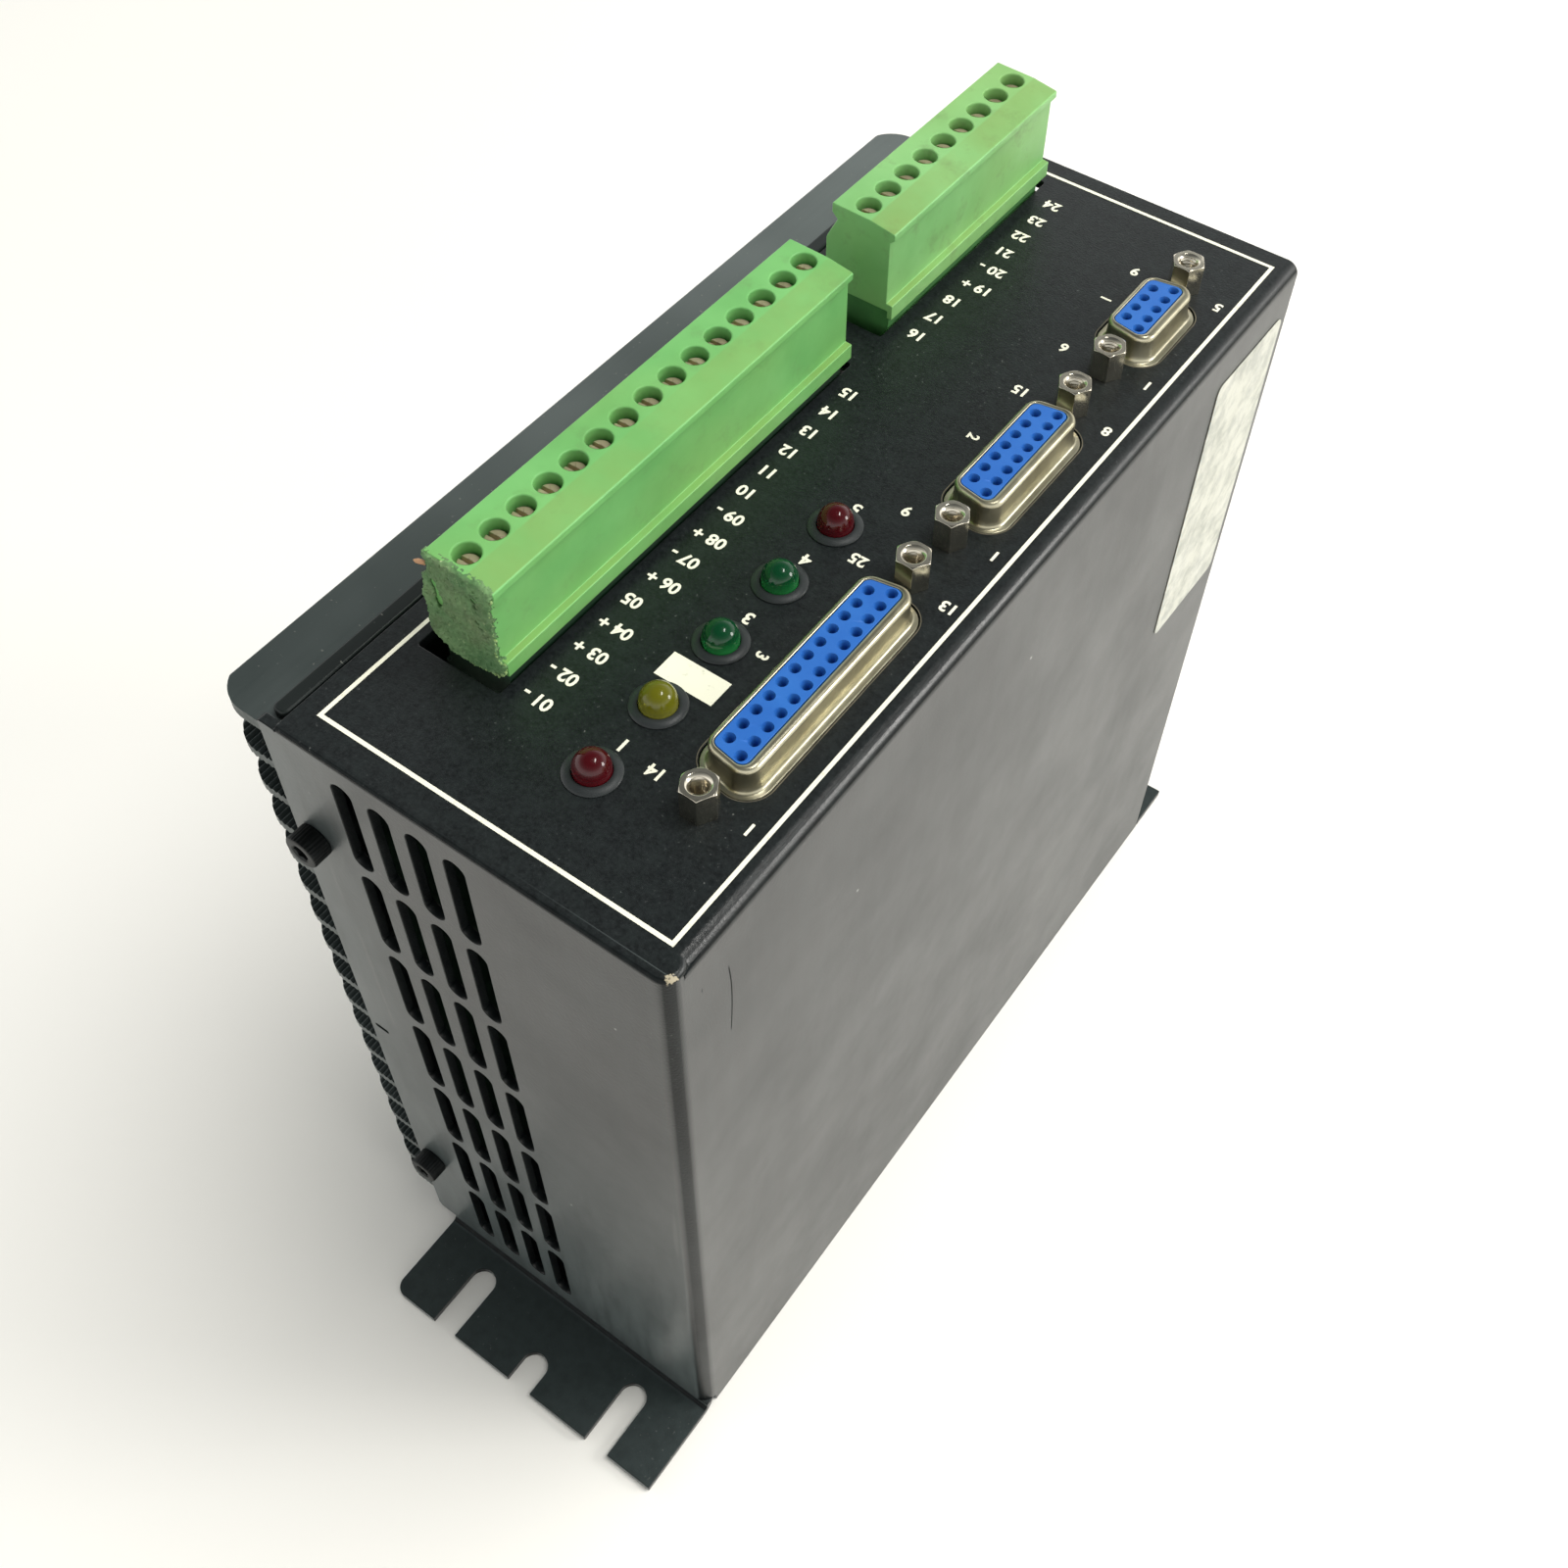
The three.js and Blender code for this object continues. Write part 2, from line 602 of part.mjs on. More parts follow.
function addClampScrews() {
  TERMINALS.flatMap(poleYs).forEach((y, index) => {
    const screw = post(POLE_X, y, CLAMP_BOTTOM_Z, CLAMP_TOP_Z, CLAMP_RADIUS, 10);
    const slot = block(
      [POLE_X - CLAMP_RADIUS - 1, POLE_X + CLAMP_RADIUS + 1],
      [y - CLAMP_SLOT.width / 2, y + CLAMP_SLOT.width / 2],
      [CLAMP_TOP_Z - CLAMP_SLOT.depth, CLAMP_TOP_Z + 1],
    );
    const number = String(index + 1).padStart(2, '0');
    add(`terminal_screw_${number}`, screw.subtract(slot), PLATED);
  });
}

// ---- D-sub ports ----
function addDsub({ name, y, shell, flange: flangeLength, jacks }) {
  const flangeTop = HEIGHT - SHEET - GAP;
  const flangeBottom = flangeTop - DSUB_FLANGE_THICKNESS;
  const plate = alongZ(rectangle(
    DSUB_X - DSUB_FLANGE_HEIGHT / 2,
    y - flangeLength / 2,
    DSUB_X + DSUB_FLANGE_HEIGHT / 2,
    y + flangeLength / 2,
    DSUB_CORNER,
  ), flangeBottom, flangeTop);
  const inset = (amount) => dOutline(
    y,
    shell - 2 * amount,
    DSUB_SHELL_HEIGHT - 2 * amount,
    DSUB_CORNER - amount,
  );
  const wall = alongZ(inset(0), flangeBottom, DSUB_FACE_Z);
  const mouth = alongZ(inset(DSUB_WALL), flangeBottom - 1, DSUB_FACE_Z + 1);
  const holes = [-1, 1].map((end) => post(
    DSUB_X,
    y + (end * jacks) / 2,
    flangeBottom - 1,
    flangeTop + 1,
    JACK_HOLE_RADIUS,
  ));
  add(`${name}_shell`, cutBy(plate.add(wall), [mouth, ...holes]), PLATED);
  const face = alongZ(inset(DSUB_WALL + GAP), flangeBottom - 2, DSUB_FACE_Z - 0.3);
  const rear = block(
    [CONTROL_BOARD.x[1] + GAP, DSUB_X + 4.6],
    [y - shell / 2 - 0.5, y + shell / 2 + 0.5],
    [DSUB_REAR_BOTTOM_Z, flangeBottom - GAP],
  );
  add(`${name}_insert`, face.add(rear), BLUE);
}

function addJackscrews({ short, y, jacks }) {
  Object.entries({ near: -1, far: 1 }).forEach(([end, side]) => {
    const centre = y + (side * jacks) / 2;
    const hex = post(DSUB_X, centre, HEIGHT, JACK_TOP_Z, JACK_HEX_RADIUS, 6);
    const shank = post(DSUB_X, centre, JACK_SHANK_BOTTOM_Z, HEIGHT + OVERLAP, JACK_SHANK_RADIUS, 8);
    const bore = post(DSUB_X, centre, JACK_TOP_Z - JACK_BORE_DEPTH, JACK_TOP_Z + 1, JACK_BORE_RADIUS, 10);
    add(`jackscrew_${short}_${end}`, hex.add(shank).subtract(bore), PLATED);
  });
}

// ---- Indicators ----
function addLeds() {
  ledYs().forEach((y, index) => {
    const profile = [
      new THREE.Vector2(0, LED_BOTTOM_Z),
      new THREE.Vector2(LED_BARREL_RADIUS, LED_BOTTOM_Z),
      new THREE.Vector2(LED_BARREL_RADIUS, HEIGHT),
      new THREE.Vector2(BEZEL_RADIUS, HEIGHT),
      new THREE.Vector2(BEZEL_RADIUS, HEIGHT + BEZEL_HEIGHT * 0.4),
      new THREE.Vector2(BEZEL_RADIUS - 0.6, HEIGHT + BEZEL_HEIGHT),
      new THREE.Vector2(LED_RADIUS, HEIGHT + BEZEL_HEIGHT),
    ];
    const domeSteps = 4;
    for (let step = 0; step <= domeSteps; step += 1) {
      const angle = (Math.PI / 2) * (step / domeSteps);
      const radius = step === domeSteps ? 0 : LED_RADIUS * Math.cos(angle);
      profile.push(new THREE.Vector2(radius, LED_SHOULDER_Z + LED_RADIUS * Math.sin(angle)));
    }
    const turned = new THREE.LatheGeometry(profile, 12).rotateX(Math.PI / 2);
    add(`led_${index + 1}`, toSolid(turned.translate(LED_X, y, 0)), finish(LED_COLOURS[index], 0.2, 0));
  });
}

// ---- Boards and power parts ----
function addInside() {
  add('power_board', block(POWER_BOARD.x, POWER_BOARD.y, POWER_BOARD.z), BOARD);
  add('control_board', block(CONTROL_BOARD.x, CONTROL_BOARD.y, CONTROL_BOARD.z), BOARD);
  add('power_module', block(POWER_MODULE.x, POWER_MODULE.y, POWER_MODULE.z), EPOXY);
  add('rectifier_module', block(RECTIFIER.x, RECTIFIER.y, RECTIFIER.z), EPOXY);
  Object.entries(CAPACITOR_YS).forEach(([end, y]) => {
    const { radius, left, right, z } = CAPACITOR;
    const can = new THREE.CylinderGeometry(radius, radius, right - left, 24).rotateZ(Math.PI / 2);
    add(`capacitor_${end}`, toSolid(can.translate((left + right) / 2, y, z)), SLEEVE);
  });
}

addCover();
addFarEndPlate();
addBasePlate();
addHeatsink();
addCapScrews();
TERMINALS.forEach(addPlug);
TERMINALS.forEach(addHeader);
addClampScrews();
DSUBS.forEach(addDsub);
DSUBS.forEach(addJackscrews);
addLeds();
add('side_label', block([SIDE_X, HALF_WIDTH], [LABEL.nearY, LABEL.farY], [LABEL.bottom, LABEL.top]), PAPER);
addInside();

export default module;
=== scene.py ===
"""Looks of the stepper driver module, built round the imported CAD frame.

Shapes are drawn in millimetres, as the CAD is, and turned into Blender's metres as each mesh is made.
+Z points out of the connector panel, +Y to the far end and +X to the plain side.
"""

import math

import bmesh
import bpy
from mathutils import Matrix, Vector, noise
from mathutils.bvhtree import BVHTree


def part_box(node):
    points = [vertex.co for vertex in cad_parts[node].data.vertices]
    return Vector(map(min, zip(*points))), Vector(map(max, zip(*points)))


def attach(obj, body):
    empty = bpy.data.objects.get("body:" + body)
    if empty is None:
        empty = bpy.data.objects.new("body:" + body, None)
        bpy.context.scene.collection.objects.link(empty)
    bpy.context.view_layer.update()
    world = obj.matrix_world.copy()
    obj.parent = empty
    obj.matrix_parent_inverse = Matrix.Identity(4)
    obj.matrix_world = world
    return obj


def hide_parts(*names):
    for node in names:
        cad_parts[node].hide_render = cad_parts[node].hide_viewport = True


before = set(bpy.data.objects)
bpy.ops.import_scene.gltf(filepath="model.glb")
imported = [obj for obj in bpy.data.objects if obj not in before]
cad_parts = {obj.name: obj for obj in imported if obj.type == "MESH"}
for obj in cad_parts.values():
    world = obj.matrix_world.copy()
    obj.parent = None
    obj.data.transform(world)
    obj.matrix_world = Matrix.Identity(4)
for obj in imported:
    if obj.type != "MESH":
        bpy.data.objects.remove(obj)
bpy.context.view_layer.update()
MM = 0.001
HOUSING = "housing"


# ---- What the frame says ----
def low(node):
    """A CAD node's lowest corner, in millimetres."""
    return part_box(node)[0] / MM


def high(node):
    """A CAD node's highest corner, in millimetres."""
    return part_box(node)[1] / MM


def middle(node):
    return (low(node) + high(node)) / 2


SHEET = 1.6
GAP = 0.3                        # between touching pieces
FLANGE_REACH = 17.5
TOP = high("cover").z
SIDE_X = high("cover").x
END_Y = -low("cover").y - FLANGE_REACH
FAR_EDGE_Y = high("cover").y

# Sheet metal, as in the CAD.
PANEL_LEFT_X = -25.9
PANEL_NEAR_Y = -77.35
PANEL_BEND = 2.2
CORNER_BEND = 2.6
PANEL_CORNER = 1.2
FOLD_BEND = 0.9
TAB_DROP = 0.5
FLANGE_BEND = 1.2
END_LEFT_X = -29
FLANGE_LEFT_X = -24.9
FLANGE_CORNER = 2.5
END_CORNER_CUT = (2.5, 5.5)
SLOT_WIDTH = 5.3
SLOT_CENTRES = (-12, 6.7, 25.4)
SLOT_DEPTHS = (13.4, 7, 13.4)
VENT_COLUMNS = 4
VENT_ROWS = 7
VENT_SIZE = (3.6, 19)
VENT_FIRST_X = -15.5
VENT_PITCH = (6.43, 21.55)
VENT_TOP_Z = 155.6
CAP_SCREW_X = -24.7
CAP_SCREW_ZS = (136.2, 30.3)
CAP_HOLE_RADIUS = 1.9
NOTCH = (-26.3, 79.2, 2.8, 0.9)
ROUND_END = 0.499                # a corner's share of the width that makes a slot's end round
VENT_CENTRE_ZS = [VENT_TOP_Z - VENT_SIZE[1] / 2 - row * VENT_PITCH[1] for row in range(VENT_ROWS)]
END_WALL_LEVELS = [*VENT_CENTRE_ZS, *CAP_SCREW_ZS, NOTCH[1]]
EDGE = 0.16
SPINE_INNER_X = -26.2

# Connectors, as in the CAD.
POLE_PITCH = 5.08
POLE_X = -12.7
POLES = {"terminal_plug_15": (15, -53.25), "terminal_plug_9": (9, 34.4)}
SKIRT_BOTTOM = TOP + 2.4
LEDGE = TOP + 5
HEADER_WINDOW_X = (-20.7, -6.5)
HEADER_WINDOW_ENDS = (4.45, 4.1)
SCREW_HOLE_RADIUS = 1.92
MOUTH_HALF_WIDTH = 1.7
PIN_HALF_WIDTH = 0.85
DSUB_X = 25.4
DSUBS = {"dsub_25": (13, -33.1, 38.4), "dsub_15": (8, 16.7, 24.8), "dsub_9": (5, 56.1, 16.4)}
DSUB_HEIGHT = 8
DSUB_CORNER = 2.4
DSUB_SLOPE = math.tan(math.radians(10))
DSUB_WINDOW_MARGIN = 1.5
DSUB_FLANGE_HALF_WIDTH = 6.25
DSUB_RIM_DROP = 0.2
DSUB_FACE_LEAN = 0.3             # how far the blue face sits towards -X
PIN_PITCH = 2.77
PIN_ROW_OFFSET = 1.42
JACK_HOLE_RADIUS = 1.65
LED_RADIUS = 2.6
LED_HOLE_RADIUS = 3.1
JACKS = [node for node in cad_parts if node.startswith("jackscrew")]
LEDS = sorted(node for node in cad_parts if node.startswith("led_"))


# ---- Mesh helpers ----
AXES = {
    "X": lambda u, v, w: (w, u, v),
    "Y": lambda u, v, w: (u, w, v),
    "Z": lambda u, v, w: (u, v, w),
}


def rounded(corners, steps=6):
    """A closed outline. Each corner is (u, v) or (u, v, radius)."""
    points = []
    for index, corner in enumerate(corners):
        here = Vector(corner[:2])
        radius = corner[2] if len(corner) == 3 else 0
        if radius == 0:
            points.append(here)
            continue
        back = (Vector(corners[index - 1][:2]) - here).normalized()
        ahead = (Vector(corners[(index + 1) % len(corners)][:2]) - here).normalized()
        half = back.angle(ahead) / 2
        centre = here + (back + ahead).normalized() * radius / math.sin(half)
        start = here + back * radius / math.tan(half) - centre
        end = here + ahead * radius / math.tan(half) - centre
        turn = math.atan2(start.x * end.y - start.y * end.x, start.dot(end))
        for step in range(steps + 1):
            points.append(centre + Matrix.Rotation(turn * step / steps, 2) @ start)
    return points


def rectangle(left, bottom, right, top, radius=0, steps=6):
    corners = ((left, bottom), (right, bottom), (right, top), (left, top))
    return rounded([(*corner, radius) for corner in corners], steps)


def circle(u, v, radius, steps=32):
    turns = [math.tau * step / steps for step in range(steps)]
    return [Vector((u + radius * math.cos(turn), v + radius * math.sin(turn))) for turn in turns]


def show(thing):
    bpy.context.scene.collection.objects.link(thing)


def evaluated(thing):
    """An object's mesh as its modifiers or its outline leave it."""
    graph = bpy.context.evaluated_depsgraph_get()
    return bpy.data.meshes.new_from_object(thing.evaluated_get(graph))


def to_object(mesh, name="part"):
    bmesh.ops.recalc_face_normals(mesh, faces=mesh.faces)
    data = bpy.data.meshes.new(name)
    mesh.to_mesh(data)
    mesh.free()
    piece = bpy.data.objects.new(name, data)
    show(piece)
    return piece


def loft(rings, closed=False):
    """A skin over rings of points in millimetres.

    Closed joins the last ring to the first. Otherwise both are capped.
    """
    mesh = bmesh.new()
    loops = [[mesh.verts.new(Vector(point) * MM) for point in ring] for ring in rings]
    count = len(loops[0])
    pairs = list(zip(loops, loops[1:] + loops[:1])) if closed else list(zip(loops, loops[1:]))
    for lower, upper in pairs:
        for index in range(count):
            following = (index + 1) % count
            mesh.faces.new((lower[index], lower[following], upper[following], upper[index]))
    if not closed:
        mesh.faces.new(loops[0])
        mesh.faces.new(loops[-1])
    return to_object(mesh)


def prism(outline, axis, start, end):
    place = AXES[axis]
    return loft([[place(u, v, w) for u, v in outline] for w in (start, end)])


def lathe(profile, u, v, axis="Z", steps=32):
    """A solid of revolution. The profile is (radius, height) pairs; its ends are closed flat."""
    place = AXES[axis]
    rings = [[place(a, b, height) for a, b in circle(u, v, radius, steps)] for radius, height in profile]
    return loft(rings)


def joined(pieces):
    """One mesh of several, as they are."""
    mesh = bmesh.new()
    for piece in pieces:
        mesh.from_mesh(piece.data)
        bpy.data.objects.remove(piece)
    return to_object(mesh)


def settle(piece):
    """Applies a piece's modifiers to its mesh."""
    shaped = evaluated(piece)
    piece.modifiers.clear()
    piece.data = shaped
    return piece


def combine(target, tool, operation):
    modifier = target.modifiers.new("combine", "BOOLEAN")
    modifier.operation = operation
    modifier.solver = "MANIFOLD"
    modifier.object = tool
    settle(target)
    bpy.data.objects.remove(tool)
    return target


def united(pieces):
    whole = pieces[0]
    for piece in pieces[1:]:
        combine(whole, piece, "UNION")
    return whole


def cut(target, tools):
    return combine(target, joined(tools), "DIFFERENCE")


def flatten(piece, levels=()):
    """Clears the needless edges that a join or cut leaves on flat faces.

    Faces are parted at the z levels given, so that a wall full of slots has no hole left inside a face.
    """
    mesh = bmesh.new()
    mesh.from_mesh(piece.data)
    bmesh.ops.remove_doubles(mesh, verts=mesh.verts, dist=1e-6)
    for level in levels:
        everything = mesh.verts[:] + mesh.edges[:] + mesh.faces[:]
        spot = (0, 0, level * MM)
        parted = bmesh.ops.bisect_plane(mesh, geom=everything, plane_co=spot, plane_no=(0, 0, 1))
        for edge in parted["geom_cut"]:
            if isinstance(edge, bmesh.types.BMEdge):
                edge.seam = True
    limit = math.radians(0.3)
    bmesh.ops.dissolve_limit(mesh, angle_limit=limit, verts=mesh.verts, edges=mesh.edges, delimit={"SEAM"})
    for edge in mesh.edges:
        edge.seam = False
    mesh.to_mesh(piece.data)
    mesh.free()
    return piece


def soften(piece, width=EDGE, segments=2, angle=32, levels=()):
    """Rounds every edge sharper than the angle and shades the rest smooth.

    A rounded corner between nearly tangent faces can shoot out, so its points are pulled back to the
    sharp shape.
    """
    flatten(piece, levels)
    sharp = BVHTree.FromPolygons(
        [vertex.co.copy() for vertex in piece.data.vertices],
        [list(face.vertices) for face in piece.data.polygons],
    )
    bevel = piece.modifiers.new("bevel", "BEVEL")
    bevel.width = width * MM
    bevel.segments = segments
    bevel.limit_method = "ANGLE"
    bevel.angle_limit = math.radians(angle)
    bevel.use_clamp_overlap = False
    settle(piece)
    for vertex in piece.data.vertices:
        nearest, _, _, distance = sharp.find_nearest(vertex.co)
        if distance > width * MM:
            vertex.co = nearest
    return smooth(piece)


def smooth(piece, angle=50):
    piece.data.shade_smooth()
    piece.data.set_sharp_from_angle(angle=math.radians(angle))
    weight = piece.modifiers.new("weight", "WEIGHTED_NORMAL")
    weight.keep_sharp = True
    return settle(piece)


def finish_piece(piece, name, material, replaces=(), body=HOUSING):
    piece.name = name
    piece.data.name = name
    piece.data.materials.clear()
    piece.data.materials.append(material)
    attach(piece, body)
    if replaces:
        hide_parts(*replaces)
    return piece


# ---- Materials ----
CHIP = (37.3, -77.4, 159.7)      # where the paint is knocked off the near corner


def linear(red, green, blue):
    """A screen colour, 0 to 255, as the shader's linear one."""
    def channel(value):
        value /= 255
        return value / 12.92 if value <= 0.04045 else ((value + 0.055) / 1.055) ** 2.4
    return (channel(red), channel(green), channel(blue), 1)


class Look:
    """A Principled material and short ways to feed it."""

    def __init__(self, name, **values):
        self.material = bpy.data.materials.new(name)
        self.material.use_nodes = True
        self.tree = self.material.node_tree
        self.shader = next(node for node in self.tree.nodes if node.type == "BSDF_PRINCIPLED")
        self.place = self.tree.nodes.new("ShaderNodeTexCoord").outputs["Object"]
        for name, value in values.items():
            self.set(name.replace("_", " "), value)

    def feed(self, socket, value):
        if isinstance(value, bpy.types.NodeSocket):
            self.tree.links.new(value, socket)
        else:
            socket.default_value = value

    def set(self, name, value):
        self.feed(self.shader.inputs[name], value)

    def node(self, kind, inputs=None, **settings):
        made = self.tree.nodes.new(kind)
        for name, value in settings.items():
            setattr(made, name, value)
        for name, value in (inputs or {}).items():
            self.feed(made.inputs[name], value)
        return made

    def stretched(self, scale):
        return self.node("ShaderNodeMapping", {"Vector": self.place, "Scale": scale}).outputs["Vector"]

    def noise(self, scale, detail=3, rough=0.55, stretch=(1, 1, 1)):
        """Noise with features about 1 / scale metres across."""
        inputs = {"Vector": self.stretched(stretch), "Scale": scale, "Detail": detail, "Roughness": rough}
        return self.node("ShaderNodeTexNoise", inputs).outputs["Fac"]

    def cells(self, scale):
        """How far each spot lies from the middle of its cell, with 1 / scale metres between cells."""
        inputs = {"Vector": self.stretched((1, 1, 1)), "Scale": scale}
        return self.node("ShaderNodeTexVoronoi", inputs).outputs["Distance"]

    def ramp(self, value, start, end, low_value=0.0, high_value=1.0):
        inputs = {"Value": value, "From Min": start, "From Max": end}
        inputs.update({"To Min": low_value, "To Max": high_value})
        return self.node("ShaderNodeMapRange", inputs).outputs["Result"]

    def maths(self, operation, first, second=0.0):
        return self.node("ShaderNodeMath", {0: first, 1: second}, operation=operation).outputs[0]

    def times(self, first, second):
        return self.maths("MULTIPLY", first, second)

    def most(self, first, second):
        return self.maths("MAXIMUM", first, second)

    def axis(self, name):
        return self.node("ShaderNodeSeparateXYZ", {"Vector": self.place}).outputs[name]

    def normal(self, name):
        """One part of the way the smooth surface faces."""
        facing = self.node("ShaderNodeNewGeometry").outputs["Normal"]
        return self.node("ShaderNodeSeparateXYZ", {"Vector": facing}).outputs[name]

    def within(self, name, start, full, fading, end):
        """1 where the facing along one axis lies between full and fading, 0 outside start and end."""
        facing = self.normal(name)
        return self.times(self.ramp(facing, start, full), self.ramp(facing, fading, end, 1, 0))

    def mix(self, first, second, share):
        """A blend of two colours, each a socket or red, green and blue from 0 to 255."""
        first, second = (linear(*c) if isinstance(c, tuple) else c for c in (first, second))
        return self.node("ShaderNodeMix", {0: share, 6: first, 7: second}, data_type="RGBA").outputs[2]

    def distance(self, point):
        """How far each spot lies from a point given in millimetres, in metres."""
        inputs = {0: self.place, 1: Vector(point) * MM}
        return self.node("ShaderNodeVectorMath", inputs, operation="DISTANCE").outputs["Value"]

    def side_mark(self, y, bottom, top, lean):
        """A thin upright scratch on the side, wandering by about lean millimetres."""
        wander = self.ramp(self.noise(45, 1, 0.5, (0, 0, 1)), 0.3, 0.7, -lean * MM, lean * MM)
        offset = self.maths("ADD", self.maths("SUBTRACT", self.axis("Y"), y * MM), wander)
        line = self.ramp(self.maths("ABSOLUTE", offset), 0.04 * MM, 0.16 * MM, 1, 0)
        above = self.ramp(self.axis("Z"), bottom * MM, (bottom + 1) * MM)
        below = self.ramp(self.axis("Z"), top * MM, (top - 1) * MM)
        side = self.ramp(self.axis("X"), (SIDE_X - 0.3) * MM, (SIDE_X - 0.1) * MM)
        return self.times(self.times(line, self.times(above, below)), side)

    def bump(self, height, distance, strength=1.0):
        inputs = {"Height": height, "Distance": distance * MM, "Strength": strength}
        self.set("Normal", self.node("ShaderNodeBump", inputs).outputs["Normal"])


def paint_colour(look, upward):
    """Smudged black with a grainy top, a near end lightened low down and to the left as painted
    reflection, flange tops lightened as painted light, a seam drawn lighter as a painted edge highlight,
    streaks, dust, scratches and one chip.
    """
    smudge = look.ramp(look.noise(28, 4, 0.6), 0.42, 0.72)
    base = look.mix((12, 15, 16), (20, 24, 25), smudge)
    grain = look.ramp(look.noise(1500, 3, 0.7), 0.36, 0.66)
    top = look.mix((12, 16, 17), (30, 34, 35), grain)
    base = look.mix(base, top, upward)
    # Painted light: upward faces near the bottom, the flange tops, are lightened to a bluish grey for the
    # light they reflect.
    painted_flange_light = look.times(upward, look.ramp(look.axis("Z"), 4 * MM, 2 * MM))
    base = look.mix(base, (48, 56, 56), painted_flange_light)
    low_down = look.ramp(look.axis("Z"), 110 * MM, 20 * MM, 0, 0.9)
    leftward = look.ramp(look.axis("X"), -8 * MM, -28 * MM, 0, 0.7)
    near_face = look.ramp(look.normal("Y"), -0.96, -0.995)
    # Painted reflection: the near wall is lightened low down and to the left, where it mirrors the pale
    # floor.
    painted_reflection = look.times(look.most(low_down, leftward), near_face)
    base = look.mix(base, (84, 92, 92), painted_reflection)
    streak = look.ramp(look.noise(420, 3, 0.6, (1, 1, 0.12)), 0.4, 0.7)
    base = look.mix(base, (34, 40, 40), look.times(streak, 0.5))
    dust = look.ramp(look.noise(1500, 2, 0.7), 0.68, 0.76)
    dust = look.times(dust, look.ramp(look.noise(60, 2), 0.45, 0.75))
    fleck = look.ramp(look.cells(48), 0.008, 0.016, 1, 0)
    dust = look.most(look.times(dust, 0.5), fleck)
    base = look.mix(base, (170, 172, 166), dust)
    scratch = look.ramp(look.noise(240, 2, 0.5, (1, 0.02, 0.05)), 0.735, 0.76)
    base = look.mix(base, (96, 98, 94), look.times(scratch, 0.35))
    # The seam where the panel meets the near fold, drawn as a thin lighter line: a painted edge highlight.
    seam = look.maths("ABSOLUTE", look.maths("SUBTRACT", look.axis("Y"), PANEL_NEAR_Y * MM))
    seam = look.times(look.ramp(seam, 0.03 * MM, 0.1 * MM, 1, 0), upward)
    seam = look.times(seam, look.ramp(look.axis("X"), 12 * MM, 34 * MM))
    base = look.mix(base, (64, 70, 70), seam)
    ragged = look.ramp(look.noise(1400, 2), 0.3, 0.7, -0.45 * MM, 0.45 * MM)
    chip = look.maths("ADD", look.distance(CHIP), ragged)
    chip = look.ramp(chip, 0.45 * MM, 0.65 * MM, 1, 0)
    return look.mix(base, (176, 166, 142), chip)


def make_paint():
    """Black powder coat: matt on top, glossier on the upright faces, duller round its bends."""
    look = Look("black_paint", IOR=1.65)
    upward = look.ramp(look.normal("Z"), 0.85, 0.98)
    look.set("Base Color", paint_colour(look, upward))
    rough = look.ramp(look.noise(45, 4, 0.6), 0.3, 0.7, 0.3, 0.4)
    long_mark = look.side_mark(-67.6, 133, 150, 0.9)
    short_mark = look.side_mark(-72.8, 150.6, 151.9, 0.6)
    marks = look.most(long_mark, short_mark)
    look.set("Roughness", look.maths("ADD", rough, look.times(marks, 0.5)))
    side_bend = look.within("X", 0.72, 0.88, 0.91, 0.999)
    near_bend = look.within("Y", -0.999, -0.85, -0.5, -0.2)
    dull = look.most(marks, look.most(side_bend, near_bend))
    dull = look.most(dull, look.times(upward, 0.5))
    look.set("Specular IOR Level", look.ramp(dull, 0, 1, 0.5, 0.08))
    look.bump(look.noise(2800, 2, 0.6), 0.05, 0.8)
    return look.material


def make_anodised(name, light, dark):
    """Black anodised extrusion with faint draw lines along its length, lighter towards its far end."""
    look = Look(name, Metallic=0.35)
    lines = look.noise(900, 2, 0.5, (1, 0.03, 1))
    haze = look.ramp(look.noise(20, 3), 0.35, 0.7, 0, 0.6)
    # Lightens the colour towards the far end.
    toward_far_end = look.ramp(look.axis("Y"), -20 * MM, 70 * MM, 0, 0.5)
    base = look.mix(dark, light, look.maths("ADD", haze, toward_far_end))
    speck = look.ramp(look.noise(1300, 1), 0.72, 0.78)
    look.set("Base Color", look.mix(base, (150, 150, 142), look.times(speck, 0.4)))
    look.set("Roughness", look.ramp(lines, 0.3, 0.7, 0.38, 0.52))
    look.bump(lines, 0.02, 0.3)
    return look.material


def make_green(name, light, dark, dirt_share):
    """Moulded terminal plastic: uneven colour, brown grime and a fine matt skin."""
    look = Look(name, Subsurface_Weight=0.08, Subsurface_Radius=(0.001, 0.0015, 0.0008))
    tone = look.ramp(look.noise(55, 4, 0.6), 0.35, 0.7)
    base = look.mix(light, dark, tone)
    yellow = look.ramp(look.noise(24, 3, 0.6, (1, 0.5, 1)), 0.45, 0.7)
    base = look.mix(base, (150, 176, 92), look.times(yellow, 0.35))
    grime = look.ramp(look.noise(190, 5, 0.7), 0.55, 0.75)
    base = look.mix(base, (92, 84, 60), look.times(grime, dirt_share))
    strip = look.ramp(look.axis("X"), -10.5 * MM, -10.2 * MM)
    strip = look.times(strip, look.ramp(look.normal("Z"), 0.8, 0.95))
    stain = look.ramp(look.noise(70, 4, 0.6), 0.3, 0.65, 0.15, 0.6)
    base = look.mix(base, (124, 148, 76), look.times(strip, stain))
    look.set("Base Color", base)
    look.set("Roughness", look.ramp(look.noise(120, 3), 0.3, 0.7, 0.36, 0.55))
    look.bump(look.noise(1800, 2), 0.02, 0.3)
    return look.material


